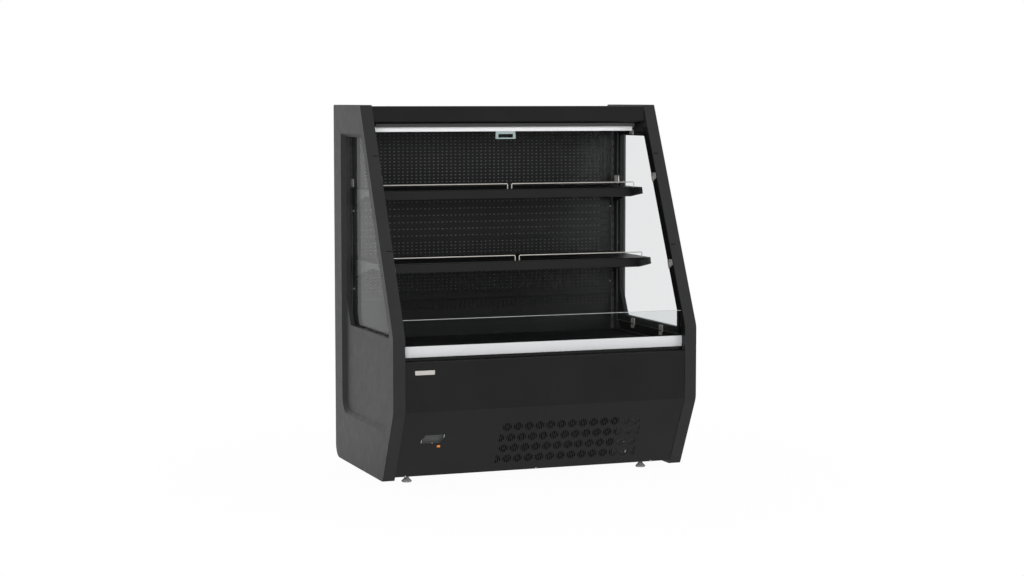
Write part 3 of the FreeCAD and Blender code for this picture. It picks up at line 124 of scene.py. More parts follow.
def mix_colour(add, share, first, second):
    """Colour between two, by a share from 0 to 1. The first may be another node's output."""
    first_input, second_input, result = 6, 7, 2
    node = add("Mix", {0: share}, data_type="RGBA")
    node.inputs[second_input].default_value = (*second, 1.0)
    if isinstance(first, bpy.types.NodeSocket):
        node.id_data.links.new(first, node.inputs[first_input])
    else:
        node.inputs[first_input].default_value = (*first, 1.0)
    return node.outputs[result]


def surface(name, colour, rough, metallic=0.0, grain=700.0, depth=3e-5, vary=0.13, rough_vary=0.04,
            specular=0.5, worn=None, worn_share=0.2, stretch=None, transmission=0.0):
    """Opaque finish: grain in the surface, uneven gloss, slight colour drift, rubbed or dusty places.

    grain is the texture's scale and depth its height; stretch draws the grain out along one axis; worn is
    the colour of rubbed places and worn_share how much of it shows there.
    """
    material, add = start(name)
    place = add("TexCoord").outputs["Object"]
    fine = stretched(add, place, stretch) if stretch else place
    peel = noise(add, fine, grain, 2.0)
    drift = noise(add, place, 4.0, 4.0)
    smear = noise(add, place, 23.0, 6.0, 0.7)
    darker = tuple(c * (1.0 - vary) for c in colour)
    lighter = tuple(min(c * (1.0 + vary), 1.0) for c in colour)
    tint = mix_colour(add, spread(add, drift, 0.0, 1.0), darker, lighter)
    if worn:
        rub = noise(add, place, 60.0, 8.0, 0.75)
        tint = mix_colour(add, spread(add, rub, 0.0, worn_share, 0.64, 0.85), tint, worn)
    gloss = spread(add, smear, rough - rough_vary, rough + rough_vary)
    bump = add("Bump", {"Strength": 0.6, "Distance": depth, "Height": peel})
    inputs = {"Base Color": tint, "Roughness": gloss, "Metallic": metallic, "Normal": bump.outputs[0],
              "Specular IOR Level": specular}
    if transmission:
        inputs["Transmission Weight"] = transmission
        inputs["IOR"] = 1.45
    shader = add("BsdfPrincipled", inputs)
    add("OutputMaterial", {"Surface": shader.outputs[0]})
    return material


def glass(name):
    """Clear double glazing: slightly grey, with faint smears. It lets the lamps' light through unbent."""
    material, add = start(name)
    place = add("TexCoord").outputs["Object"]
    smear = noise(add, place, 9.0, 8.0, 0.7)
    gloss = spread(add, smear, 0.0, 0.010, 0.5, 0.8)
    shader = add("BsdfPrincipled", {"Base Color": (0.845, 0.858, 0.862, 1.0), "Roughness": gloss,
                                    "IOR": 1.125, "Transmission Weight": 1.0})
    clear = add("BsdfTransparent", {"Color": (0.88, 0.90, 0.89, 1.0)})
    path = add("LightPath")
    both = math_node(add, "MAXIMUM", path.outputs["Is Shadow Ray"], path.outputs["Is Diffuse Ray"])
    mixed = add("MixShader", {0: both, 1: shader.outputs[0], 2: clear.outputs[0]})
    add("OutputMaterial", {"Surface": mixed.outputs[0]})
    return material


def fabric(name):
    """Woven metallised blind cloth. The weave varies only across X, because the cloth stretches when drawn."""
    material, add = start(name)
    place = add("TexCoord").outputs["Object"]
    across = add("SeparateXYZ", {0: place}).outputs[0]
    line = add("CombineXYZ", {0: across}).outputs[0]
    threads = add("TexWave", {"Vector": line, "Scale": 160.0, "Distortion": 0.6}, wave_type="BANDS")
    slub = noise(add, line, 90.0, 3.0)
    tint = mix_colour(add, spread(add, slub, 0.0, 1.0), (0.50, 0.51, 0.52), (0.68, 0.69, 0.70))
    gloss = spread(add, slub, 0.40, 0.62)
    bump = add("Bump", {"Strength": 0.5, "Distance": 2e-4, "Height": threads.outputs[0]})
    shader = add("BsdfPrincipled", {"Base Color": tint, "Roughness": gloss, "Metallic": 0.35,
                                    "Sheen Weight": 0.3, "Normal": bump.outputs[0]})
    add("OutputMaterial", {"Surface": shader.outputs[0]})
    return material


# ---------------------------------------------------------------- finishes, one to a material slot
black_rub = (0.035, 0.035, 0.036)
paint_rub = (0.018, 0.018, 0.018)
steel_rub = (0.12, 0.12, 0.12)
along_x = (0.02, 1.0, 1.0)          # grain drawn out along X, as on rolled or extruded metal
materials = {
    "moulding": surface("moulding", (0.0255, 0.0255, 0.026), 0.43, grain=520.0, depth=9e-5, specular=0.205,
                        vary=0.09, worn=black_rub),
    "canopy_paint": surface("canopy_paint", (0.0095, 0.0095, 0.0098), 0.34, specular=0.3, worn=paint_rub),
    "panel_paint": surface("panel_paint", (0.0098, 0.0098, 0.0101), 0.33, specular=0.3, worn=paint_rub),
    "interior_paint": surface("interior_paint", (0.0128, 0.0130, 0.0130), 0.37, vary=0.08, rough_vary=0.015,
                              depth=1e-5, specular=0.32, worn=paint_rub, worn_share=0.08),
    "clear_glass": glass("clear_glass"),
    "clip_steel": surface("clip_steel", (0.66, 0.65, 0.62), 0.30, 0.7, grain=300.0, depth=2e-5,
                          stretch=(1.0, 0.1, 1.0)),
    "frame_steel": surface("frame_steel", (0.045, 0.045, 0.046), 0.45, worn=steel_rub),
    "foam_panel": surface("foam_panel", (0.030, 0.030, 0.031), 0.48, grain=420.0, depth=6e-5,
                          worn=(0.06, 0.06, 0.06)),
    "lamp_white": surface("lamp_white", (0.80, 0.80, 0.78), 0.35, grain=900.0, depth=2e-5, vary=0.04),
    "blind_aluminium": surface("blind_aluminium", (0.93, 0.93, 0.94), 0.42, 0.0, grain=900.0, depth=1.5e-5,
                               vary=0.02, stretch=along_x),
    "cassette_grey": surface("cassette_grey", (0.060, 0.061, 0.062), 0.40, grain=800.0, depth=2e-5,
                             vary=0.06, stretch=along_x),
    "blind_cloth": fabric("blind_cloth"),
    "handle_plastic": surface("handle_plastic", (0.46, 0.56, 0.56), 0.30, vary=0.06, grain=600.0,
                              transmission=0.2),
    "black_plastic": surface("black_plastic", (0.0056, 0.0056, 0.0058), 0.24, grain=600.0, depth=2e-5,
                             vary=0.15, rough_vary=0.03, worn=paint_rub, worn_share=0.15),
    "bumper_silver": surface("bumper_silver", (0.625, 0.63, 0.64), 0.36, 0.05, grain=800.0, depth=1.2e-5,
                             vary=0.03, stretch=(0.01, 1.0, 1.0)),
    "controller_grey": surface("controller_grey", (0.072, 0.075, 0.074), 0.36, grain=800.0, vary=0.08),
    "rocker_orange": surface("rocker_orange", (1.0, 0.30, 0.05), 0.25, vary=0.08, grain=900.0, depth=1e-5),
    "coil_aluminium": surface("coil_aluminium", (0.70, 0.70, 0.71), 0.35, 1.0, grain=400.0, depth=4e-5),
    "coil_black": surface("coil_black", (0.016, 0.016, 0.016), 0.40, grain=400.0, depth=4e-5,
                          worn=(0.04, 0.04, 0.04)),
    "compressor_black": surface("compressor_black", (0.018, 0.018, 0.018), 0.32, worn=(0.05, 0.05, 0.05)),
    "copper_pipe": surface("copper_pipe", (0.75, 0.42, 0.27), 0.30, 1.0, grain=200.0, depth=3e-5),
    "foot_grey": surface("foot_grey", (0.60, 0.60, 0.60), 0.50, grain=600.0, depth=8e-5,
                         worn=(0.6, 0.6, 0.6)),
}
# finishes of single pieces that differ from their slot's
extra = {
    "dark_tray": surface("dark_tray", (0.004, 0.004, 0.0041), 0.42, specular=0.12, worn=(0.010, 0.010, 0.010)),
    # painted light: a lighter copy of the interior paint, for the uprights where the corner's shade falls and
    # for the light lines of the liner beads and pane edges
    "painted_light_grey": surface("painted_light_grey", (0.075, 0.075, 0.077), 0.36, worn=paint_rub, worn_share=0.1),
    "badge_metal": surface("badge_metal", (0.53, 0.505, 0.475), 0.34, 0.15, grain=900.0, depth=1e-5,
                           vary=0.03, stretch=along_x),
    "stop_wire": surface("stop_wire", (0.72, 0.69, 0.64), 0.30, 0.45, grain=500.0, depth=1e-5, vary=0.06),
    # ground glass edge: frosted, and made paler still as a painted highlight along the pane's top
    "ground_edge_highlight": surface("ground_edge_highlight", (0.62, 0.65, 0.64), 0.45, grain=1500.0, depth=2e-5, vary=0.05,
                           transmission=0.25),
    # sheet behind the holes: pale grey, partly a painted reflection that gives the holes the brightness of
    # metal reflecting the studio
    "diffuser": surface("diffuser", (0.155, 0.168, 0.162), 0.5, grain=700.0, vary=0.08),
    "baffle": surface("baffle", (0.080, 0.080, 0.080), 0.45, grain=500.0, vary=0.15, worn=steel_rub),
    # black rubber for the glazing seals, also used for black pieces that are painted shade: the canopy gap
    # strip, the notch inserts and the strip under the condenser
    "seal_rubber_and_painted_shade": surface("seal_rubber_and_painted_shade", (0.0045, 0.0045, 0.0045), 0.55, grain=900.0, specular=0.2),
    "white_plug": surface("white_plug", (0.82, 0.82, 0.80), 0.35, vary=0.04, grain=900.0),
}
finish_of = {"uprights": "painted_light_grey", "deck_trays": "dark_tray", "wire_stops_upper": "stop_wire",
             "wire_stops_lower": "stop_wire", "shelf_tray_upper": "dark_tray", "shelf_tray_lower": "dark_tray"}
slots = {}
for part in frame["record"]["subparts"]:
    slots[part["node"]] = part["material_slot"]

# ---------------------------------------------------------------- CAD nodes: finish and soft edges
soft_edges = {
    "end_wall_left": 0.0016, "end_wall_right": 0.0016, "lower_front_panel": 0.0003, "canopy_fascia": 0.0004,
    "front_bumper": 0.0012, "insulated_tub": 0.001, "insulated_back": 0.001, "roof_panel": 0.001,
    "compressor": 0.001, "side_glass_left": 0.0008, "side_glass_right": 0.0008, "blind_rail": 0.0004,
    "blind_handle": 0.0006, "base_frame": 0.0004,
}
sharpest_curve = math.radians(50)       # edges that turn by more than this are softened


def soften(obj, width):
    weld = obj.modifiers.new("weld", "WELD")
    weld.merge_threshold = 1e-5
    bevel = obj.modifiers.new("soft edges", "BEVEL")
    bevel.width = width
    bevel.segments = 2
    bevel.limit_method = "ANGLE"
    bevel.angle_limit = sharpest_curve
    bevel.use_clamp_overlap = True
    even = obj.modifiers.new("even shading", "WEIGHTED_NORMAL")
    even.keep_sharp = True


for name, obj in nodes.items():
    finish = extra[finish_of[name]] if name in finish_of else materials[slots[name]]
    if not obj.material_slots:
        obj.data.materials.append(None)
    for holder in obj.material_slots:
        holder.material = finish
    if name in soft_edges:
        soften(obj, soft_edges[name])


# ---------------------------------------------------------------- mesh helpers
def add_object(name, mesh, slot, body, smooth=True, finish=None):
    """Object that rides on a body, with its slot's finish or one of the extra ones."""
    obj = bpy.data.objects.new(name, mesh)
    scene.collection.objects.link(obj)
    mesh.materials.append(extra[finish] if finish else materials[slot])
    if smooth:
        for face in mesh.polygons:
            face.use_smooth = True
    if body:
        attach(obj, body)
    return obj


fine_weld = 1e-7        # for pieces with details under a tenth of a millimetre


def finish_mesh(name, bm, weld=1e-6):
    bmesh.ops.remove_doubles(bm, verts=bm.verts, dist=weld)
    bmesh.ops.recalc_face_normals(bm, faces=bm.faces)
    mesh = bpy.data.meshes.new(name)
    bm.to_mesh(mesh)
    bm.free()
    return mesh


def band(bm, first, second):
    """Faces between two closed rings of points."""
    for i in range(len(first)):
        j = (i + 1) % len(first)
        bm.faces.new((first[i], first[j], second[j], second[i]))


def stack(bm, rings):
    """Closed solid through rings of points. Returns the face over the last one."""
    for first, second in zip(rings, rings[1:]):
        band(bm, first, second)
    bm.faces.new(rings[0])
    return bm.faces.new(rings[-1])


def slab(bm, near, far):
    """Closed sheet between two grids of points, each a list of rows."""
    rows, columns = len(near) - 1, len(near[0]) - 1
    for grid in (near, far):
        for j in range(rows):
            for i in range(columns):
                bm.faces.new((grid[j][i], grid[j][i + 1], grid[j + 1][i + 1], grid[j + 1][i]))
    for j in (0, rows):
        for i in range(columns):
            bm.faces.new((near[j][i], near[j][i + 1], far[j][i + 1], far[j][i]))
    for i in (0, columns):
        for j in range(rows):
            bm.faces.new((near[j][i], near[j + 1][i], far[j + 1][i], far[j][i]))


def circle_angles(count):
    return [2 * math.pi * k / count for k in range(count)]


def sweep_x(name, outline, x0, x1, slot, body, finish=None):
    """Closed outline in the YZ plane drawn out from x0 to x1."""
    bm = bmesh.new()
    stack(bm, [[bm.verts.new((x, y, z)) for y, z in outline] for x in (x0, x1)])
    return add_object(name, finish_mesh(name, bm), slot, body, False, finish)


def rounded(points, radii, steps=5):
    """Outline with each corner rounded."""
    result = []
    count = len(points)
    for i in range(count):
        here, radius = Vector(points[i]), radii[i]
        before, after = Vector(points[i - 1]) - here, Vector(points[(i + 1) % count]) - here
        if radius <= 0.0:
            result.append(tuple(here))
            continue
        half = before.angle(after) / 2
        reach = radius / math.tan(half)
        start_at, end_at = here + before.normalized() * reach, here + after.normalized() * reach
        inward = (before.normalized() + after.normalized()).normalized()
        middle = here + inward * (radius / math.sin(half))
        a, b = start_at - middle, end_at - middle
        turn = a.angle(b)
        for k in range(steps + 1):
            share = k / steps
            mixed = (a * math.sin((1 - share) * turn) + b * math.sin(share * turn)) / math.sin(turn)
            result.append(tuple(middle + mixed))
    return result


def tube(name, path, radius, slot, body, finish, sides=8):
    """Round bar along a path of points that lies in one YZ plane."""
    bm = bmesh.new()
    rings = []
    for i, point in enumerate(path):
        here = Vector(point)
        ahead = Vector(path[min(i + 1, len(path) - 1)]) - Vector(path[max(i - 1, 0)])
        ahead.normalize()
        side = Vector((1, 0, 0))
        up = ahead.cross(side).normalized()
        rings.append([bm.verts.new(here + side * (radius * math.cos(angle)) + up * (radius * math.sin(angle)))
                      for angle in circle_angles(sides)])
    stack(bm, rings)
    return add_object(name, finish_mesh(name, bm), slot, body, True, finish)


# the lower front panel's leaning plane: down from the bend line, out of the panel's face
bend_y, bend_z = -0.3855, 0.299
toe_angle = math.atan(0.5092)


def on_slant(x, down, out):
    y = bend_y + down * math.sin(toe_angle) - out * math.cos(toe_angle)
    z = bend_z - down * math.cos(toe_angle) - out * math.sin(toe_angle)
    return Vector((x, y, z))


def slant_studs(name, places, steps, slot, finish):
    """Small blocks on the leaning plane, each (x, down, width, height), through steps of (size, out)."""
    bm = bmesh.new()
    for x, down, wide, tall in places:
        rings = []
        for share, out in steps:
            rings.append([bm.verts.new(on_slant(x + a * wide * share / 2, down + b * tall * share / 2, out))
                          for a, b in ((-1, -1), (1, -1), (1, 1), (-1, 1))])
        stack(bm, rings)
    add_object(name, finish_mesh(name, bm, fine_weld), slot, "cabinet", False, finish)


# the end walls' leaning front edge, and the face of each wall towards the inside
wall_inside = 0.563
slope_foot = Vector((-0.3875, 0.578))       # knee of the end wall, as Y and Z
slope_angle = math.atan2(0.408, 0.846)


def on_slope(z, offset=0.0):
    """Y of the leaning edge at height z, a distance behind it."""
    return slope_foot.x + (z - slope_foot.y) * math.tan(slope_angle) + offset / math.cos(slope_angle)


# ---------------------------------------------------------------- perforated duct panels
hole_pitch = 0.0183
hole_columns = range(-29, 30)
hole_wide, hole_tall = 0.0040, 0.0024       # half sizes of the oval holes
hole_angles = [math.radians(22.5 + 45.0 * i) for i in range(8)]
sheet = 0.0015
groove_floor, groove_mouth, groove_depth = 0.0011, 0.0026, 0.0024       # half widths, and depth


def column_lines(half):
    """Edge lines of the columns of holes, with a margin at each end."""
    lines = [(k - 0.5) * hole_pitch for k in hole_columns]
    return [-half] + lines + [(hole_columns[-1] + 0.5) * hole_pitch, half]


def row_levels(low, high, rows, row_height, groove):
    """Heights at which the sheet is divided, round each row of holes and round the groove."""
    cuts = {low, high}
    for z in rows:
        cuts.update((z - row_height / 2, z + row_height / 2))
    if groove:
        cuts.update((groove - groove_mouth, groove - groove_floor,
                     groove + groove_floor, groove + groove_mouth))
    cuts = sorted(cuts)
    levels = [cuts[0]]
    for z in cuts[1:]:
        if z - levels[-1] > 5e-4:
            levels.append(z)
    levels[-1] = high
    return levels


def perforated(name, node, rows, row_height, groove=None):
    """Sheet panel with side returns, holes at every column of each row, and a pressed groove at one height."""
    low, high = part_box(node)
    half, front, rear = high.x, low.y, high.y
    back = front + sheet
    lines = column_lines(half)
    levels = row_levels(low.z, high.z, rows, row_height, groove)
    cells = len(lines) - 1
    bm = bmesh.new()
    seen = {}

    def point(x, y, z):
        key = (round(x, 6), round(y, 6), round(z, 6))
        if key not in seen:
            pressed = groove and abs(z - groove) < groove_floor + 1e-4 and y < front + 2 * sheet
            seen[key] = bm.verts.new((x, y + (groove_depth if pressed else 0.0), z))
        return seen[key]

    def face(*corners):
        bm.faces.new([point(*c) for c in corners])

    def rim(column, y, z):
        """A hole's rim on one skin."""
        return [(column + hole_wide * math.cos(t), y, z + hole_tall * math.sin(t)) for t in hole_angles]

    def back_ends(i):
        """Ends of a cell on the back skin, which stops short of the side returns."""
        return (lines[i] + (sheet if i == 0 else 0.0), lines[i + 1] - (sheet if i == cells - 1 else 0.0))

    def cell(i, z0, z1, hole_z):
        """Both skins of one cell, whole or round a hole, and the hole's wall."""
        column = (lines[i] + lines[i + 1]) / 2
        for y, (a0, a1) in ((front, (lines[i], lines[i + 1])), (back, back_ends(i))):
            if hole_z is None:
                face((a0, y, z0), (a1, y, z0), (a1, y, z1), (a0, y, z1))
                continue
            ring = rim(column, y, hole_z)
            corners = [(a1, y, z1), (a0, y, z1), (a0, y, z0), (a1, y, z0)]
            for q in range(4):
                face(corners[q], ring[2 * q + 1], ring[2 * q])
                face(corners[q], corners[(q + 1) % 4], ring[(2 * q + 2) % len(ring)], ring[2 * q + 1])
        if hole_z is not None:
            near, far = rim(column, front, hole_z), rim(column, back, hole_z)
            for q in range(len(near)):
                r = (q + 1) % len(near)
                face(near[q], near[r], far[r], far[q])

    for z0, z1 in zip(levels, levels[1:]):
        inside = [z for z in rows if z0 < z < z1]
        for i in range(cells):
            full_width = abs(lines[i + 1] - lines[i] - hole_pitch) < 1e-5
            cell(i, z0, z1, inside[0] if inside and full_width else None)
        for side in (-1, 1):
            outer, inner = side * half, side * (half - sheet)
            face((outer, front, z0), (outer, rear, z0), (outer, rear, z1), (outer, front, z1))
            face((inner, back, z0), (inner, rear, z0), (inner, rear, z1), (inner, back, z1))
            face((outer, rear, z0), (inner, rear, z0), (inner, rear, z1), (outer, rear, z1))
    for z in (levels[0], levels[-1]):
        for i in range(cells):
            b0, b1 = back_ends(i)
            face((lines[i], front, z), (lines[i + 1], front, z), (b1, back, z), (b0, back, z))
        for side in (-1, 1):
            outer, inner = side * half, side * (half - sheet)
            face((outer, front, z), (inner, back, z), (inner, rear, z), (outer, rear, z))
    obj = add_object(name, finish_mesh(name, bm), "interior_paint", "cabinet", smooth=False)
    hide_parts(node)


# close rows above the upper shelf, every second one between the shelves, close rows again lower down
row_pitch = 0.01345
top_row = 1.306
upper_rows = [top_row - row_pitch * i for i in range(-1, 16)]
upper_rows += [top_row - row_pitch * i for i in range(20, 33, 2)]
upper_rows += [top_row - row_pitch * i for i in range(33, 38)]
upper_rows += [0.7665 - row_pitch * i for i in range(8)]
lower_rows = [0.636, 0.6235, 0.611]
perforated("duct_panel_upper_perforated", "duct_panel_upper", upper_rows, row_pitch * 0.98)
perforated("duct_panel_lower_perforated", "duct_panel_lower", lower_rows, 0.0122, groove=0.6450)


def diffuser(name, low, high, front):
    """Sheet behind the holes with shallow upright ribs, one to each two columns of holes. Its pale grey is
    partly a painted reflection.
    """
    half = 27.5 * hole_pitch
    step = hole_pitch / 2
    count = round(2 * half / step)
    thickness, rib_height = 0.0008, 0.0006
    bm = bmesh.new()
    skins = []
    for thick in (0.0, thickness):
        grid = []
        for z in (low, (low + high) / 2, high):
            line = []
            for i in range(count + 1):
                rib = rib_height * (1 - math.cos(math.pi * i / 2)) / 2
                line.append(bm.verts.new((-half + i * step, front + rib + thick, z)))
            grid.append(line)
        skins.append(grid)
    slab(bm, *skins)
    add_object(name, finish_mesh(name, bm), "interior_paint", "cabinet", True, "diffuser")


diffuser("duct_diffuser_upper", low=0.6775, high=1.3330, front=0.3140)

# ---------------------------------------------------------------- black strip in the canopy gap as painted shadow, and glazing seals
# black strip between the fascia and the blind's cassette: painted shadow of the gap
canopy_lip = [(0.0395, 1.3597), (0.0450, 1.3597), (0.0450, 1.3545), (0.0443, 1.3528), (0.0455, 1.3520),
              (0.0474, 1.3522), (0.0478, 1.3540), (0.0478, 1.3612), (0.0395, 1.3612)]
sweep_x("canopy_gap_shadow_strip", canopy_lip, -0.5625, 0.5625, "black_plastic", "cabinet", "seal_rubber_and_painted_shade")

seal_thickness = 0.0008
seal_top = 1.336
seal_inner = -0.328
ledge_top, ledge_foot = 0.5403, 0.5010
knee_ahead = slope_foot.x + 0.0035
knee_behind = slope_foot.y + 0.022
border = [(on_slope(seal_top, 0.0032), seal_top), (knee_ahead, slope_foot.y), (knee_ahead, 0.5415),
          (seal_inner, 0.5415), (seal_inner, knee_behind), (on_slope(seal_top, 0.044), seal_top)]
border = rounded(border, [0.0, 0.06, 0.0, 0.0, 0.02, 0.0])
ledge = rounded([(0.262, ledge_top), (seal_inner, ledge_top), (seal_inner, ledge_foot), (0.252, ledge_foot)],
                [0.0, 0.002, 0.012, 0.0])
fold = [(0.262, 0.5412), (seal_inner + 0.004, 0.5412), (seal_inner + 0.004, 0.5436), (0.262, 0.5436)]
bead_rear, bead_low, bead_radius = 0.2748, 0.5045, 0.0014
bead_corners = [(bead_rear, 1.300), (bead_rear, bead_low), (seal_inner + 0.0035, bead_low),
                (seal_inner + 0.0035, 0.538)]
bead_line = rounded(bead_corners, [0.0, 0.058, 0.012, 0.0], 10)
for side, word in ((-1, "left"), (1, "right")):
    near, far = side * (wall_inside - seal_thickness), side * wall_inside
    sweep_x("slope_seal_" + word, border, near, far, "black_plastic", "cabinet", "seal_rubber_and_painted_shade")
    sweep_x("ledge_seal_" + word, ledge, near, far, "black_plastic", "cabinet", "seal_rubber_and_painted_shade")
    path = [(side * (wall_inside - 0.001), y, z) for y, z in bead_line]
    # the liner beads and pane edges take the lighter paint: painted highlight lines along the jamb and the
    # ledge
    tube("liner_bead_" + word, path, bead_radius, "interior_paint", "cabinet", "painted_light_grey")
    sweep_x("pane_edge_" + word, fold, near, far, "black_plastic", "cabinet", "painted_light_grey")

# ---------------------------------------------------------------- pane clips
clip_outline = [(-16, 20), (-16, -5.5), (-9, -9), (-9, -20), (16, -20), (16, -5.5), (-8, -5.5), (-8, -1),
                (16, -1), (16, 20)]         # millimetres
clip_radii = [3.0, 2.0, 2.0, 3.0, 3.0, 2.0, 1.2, 1.2, 2.0, 3.0]
edge_clip, slope_clip = 0.0042, 0.0017      # how far each kind stands proud
slope_turn = -90.0 - math.degrees(slope_angle)
slope_setback = 0.0262
# middle in Y and Z, turn in degrees, thickness
clips = [((0.1065, 0.5425), 0.0, edge_clip), ((-0.1670, 0.5415), 0.0, edge_clip),
         ((0.1290, 1.3240), 180.0, edge_clip), ((0.2790, 1.1190), 90.0, edge_clip),
         ((on_slope(1.143, slope_setback), 1.143), slope_turn, slope_clip),
         ((on_slope(0.811, slope_setback), 0.811), slope_turn, slope_clip)]


def clip_plate(bm, side, y, z, turn, thick):
    """Stamped plate with two lobes and an open slot between them, a raised rim and a rivet in one lobe."""
    shape = rounded([(u / 1000.0, v / 1000.0) for u, v in clip_outline], [r / 1000.0 for r in clip_radii], 3)
    c, s = math.cos(math.radians(turn)), math.sin(math.radians(turn))
    base = side * (wall_inside - 0.0009)
    rings = []
    for inset, rise in ((0.0, 0.0), (0.0, thick - 0.0008), (0.0007, thick)):
        ring = []
        for i, (u, v) in enumerate(shape):
            before, after = Vector(shape[i - 1]), Vector(shape[(i + 1) % len(shape)])
            along = (after - before).normalized()
            u1, v1 = u - along.y * inset, v + along.x * inset
            ring.append(bm.verts.new((base - side * rise, y + u1 * c - v1 * s, z + u1 * s + v1 * c)))
        rings.append(ring)
    top = stack(bm, rings)
    bmesh.ops.inset_region(bm, faces=[top], thickness=0.0016, depth=0.0, use_even_offset=True)
    bmesh.ops.translate(bm, verts=list(top.verts), vec=(side * 0.0009, 0, 0))
    rivet = 0.0095                          # distance of the rivet from the clip's middle
    rings = []
    for rise, radius in ((thick + 0.0008, 0.0026), (thick - 0.0009, 0.0033)):
        rings.append([bm.verts.new((base - side * rise, y + radius * math.cos(k) - rivet * s,
                                    z + radius * math.sin(k) + rivet * c)) for k in circle_angles(10)])
    stack(bm, rings)


def glass_clip_plates():
    bm = bmesh.new()
    for side in (-1, 1):
        for (y, z), turn, thick in clips:
            clip_plate(bm, side, y, z, turn, thick)
    mesh = finish_mesh("glass_clip_plates", bm, fine_weld)
    obj = add_object("glass_clip_plates", mesh, "clip_steel", "cabinet", False)
    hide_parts("glass_clips")


glass_clip_plates()


# ---------------------------------------------------------------- screw heads
def screw_heads():
    """Domed heads with a cross recess: four on the duct panels, three along the lower panel's edge."""
    radius, rise, sides = 0.0036, 0.0019, 16
    recess_depth, recess_centre = 0.42, 0.45            # shares of the rise
    profile = [(1.0, -0.1), (1.0, 0.2), (0.86, 0.62), (0.60, 0.90), (0.34, 1.0)]
    slant_out = Vector((0, -math.cos(toe_angle), -math.sin(toe_angle)))
    places = [(Vector((x, 0.3105, z)), Vector((0, -1, 0))) for x in (-0.5453, 0.5453) for z in (0.699, 1.007)]
    places += [(on_slant(x, 0.2904, 0.0), slant_out) for x in (-0.523, 0.0, 0.480)]
    bm = bmesh.new()
    for place, out in places:
        side = Vector((1, 0, 0))
        up = out.cross(side)
        rings = []
        for share, height in profile:
            wide = radius * share
            ring = []
            for k, angle in enumerate(circle_angles(sides)):
                in_cross = share < 0.7 and k % 4 == 0
                lift = rise * (height - recess_depth if in_cross else height)
                spot = side * (wide * math.cos(angle)) + up * (wide * math.sin(angle)) + out * lift
                ring.append(bm.verts.new(place + spot))
            rings.append(ring)
        for first, second in zip(rings, rings[1:]):
            band(bm, first, second)
        centre = bm.verts.new(place + out * (rise * recess_centre))
        for k in range(sides):
            bm.faces.new((rings[-1][k], rings[-1][(k + 1) % sides], centre))
        bm.faces.new(rings[0])
    obj = add_object("screw_heads", finish_mesh("screw_heads", bm, fine_weld), "clip_steel", "cabinet", True)
    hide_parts("screws")


screw_heads()


# ---------------------------------------------------------------- bare badge plate
def badge_plate():
    """Thin plate with rounded corners and a raised rim round a bare field."""
    left, right, low, high = -0.5245, -0.4485, 0.4368, 0.4530
    face, corner_radius = bend_y, 0.0016
    outline = rounded([(left, high), (left, low), (right, low), (right, high)], [corner_radius] * 4, 4)
    middle = Vector(((left + right) / 2, (low + high) / 2))
    bm = bmesh.new()
    rings = []
    for inset, out in ((0.0, 0.0), (0.0, 0.0009), (0.0004, 0.0012), (0.0014, 0.0012), (0.0017, 0.0009)):
        ring = []
        for x, z in outline:
            inward = Vector((math.copysign(1, middle.x - x), math.copysign(1, middle.y - z))) * inset
            ring.append(bm.verts.new((x + inward.x, face - out, z + inward.y)))
        rings.append(ring)
    stack(bm, rings)
    mesh = finish_mesh("badge_plate", bm, fine_weld)
    add_object("badge_plate", mesh, "clip_steel", "cabinet", False, "badge_metal")


badge_plate()


# ---------------------------------------------------------------- front pane with a ground top edge; its pale grey is partly a painted highlight
def front_pane():
    half, front, rear, low, high = 0.562, -0.3494, -0.3434, 0.4958, 0.637
    arris, ground = 0.0012, 0.0014
    profile = [(front, low), (front, high - ground), (front + arris, high), (rear - arris, high),
               (rear, high - ground), (rear, low)]
    obj = sweep_x("front_pane", profile, -half, half, "clear_glass", "cabinet")
    obj.data.materials.append(extra["ground_edge_highlight"])
    for face in obj.data.polygons:
        heights = [obj.data.vertices[v].co.z for v in face.vertices]
        if min(heights) > high - ground - 1e-5:
            face.material_index = 1
    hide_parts("front_glass")


front_pane()


# ---------------------------------------------------------------- night blind's cloth
def blind_cloth():
    """Cloth from the roller to the rail, as a fixed strip."""
    top, foot = Vector((0.0, 0.0852, 1.3508)), Vector((0.0, 0.0785, 1.3369))
    half, thick, rows, columns = 0.530, 0.0006, 24, 24
    across = Vector((0.0, foot.z - top.z, top.y - foot.y)).normalized() * thick
    bm = bmesh.new()
    skins = []
    for shift in (0.0, 1.0):
        grid = []
        for j in range(rows + 1):
            spot = top.lerp(foot, j / rows) + across * shift
            grid.append([bm.verts.new((half * (2 * i / columns - 1), spot.y, spot.z))
                         for i in range(columns + 1)])
        skins.append(grid)
    slab(bm, *skins)
    mesh = finish_mesh("blind_cloth_strip", bm, fine_weld)
    obj = add_object("blind_cloth_strip", mesh, "blind_cloth", None, True)
    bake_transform(obj)
    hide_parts("blind_fabric")


blind_cloth()

# ---------------------------------------------------------------- black inserts in the end walls' notches: painted shade
floor_gap = 0.0240              # floor to the end walls' feet
notch_heights = (("low", 0.860), ("high", 1.209))
notch_inner, notch_outer = 0.5677, 0.5863


def notch_shade_insert(name, z, side):
    """Black insert seated just behind the wall's leaning front: painted shade in the notch."""
    half, near, back, chamfer = 0.0019, 0.0009, 0.0074, 0.0008
    low, high = z - half, z + half
    outline = [(on_slope(low) + near, low), (on_slope(high) + near, high),
               (on_slope(high) + back - chamfer, high), (on_slope(z) + back, high - chamfer),
               (on_slope(z) + back, low + chamfer), (on_slope(low) + back - chamfer, low)]
    x0, x1 = (notch_inner, notch_outer) if side > 0 else (-notch_outer, -notch_inner)
    sweep_x(name, outline, x0, x1, "black_plastic", "cabinet", "seal_rubber_and_painted_shade")


for level, height in notch_heights:
    for word, side in (("left", -1), ("right", 1)):
        notch_shade_insert("notch_plug_%s_%s" % (level, word), floor_gap + height, side)


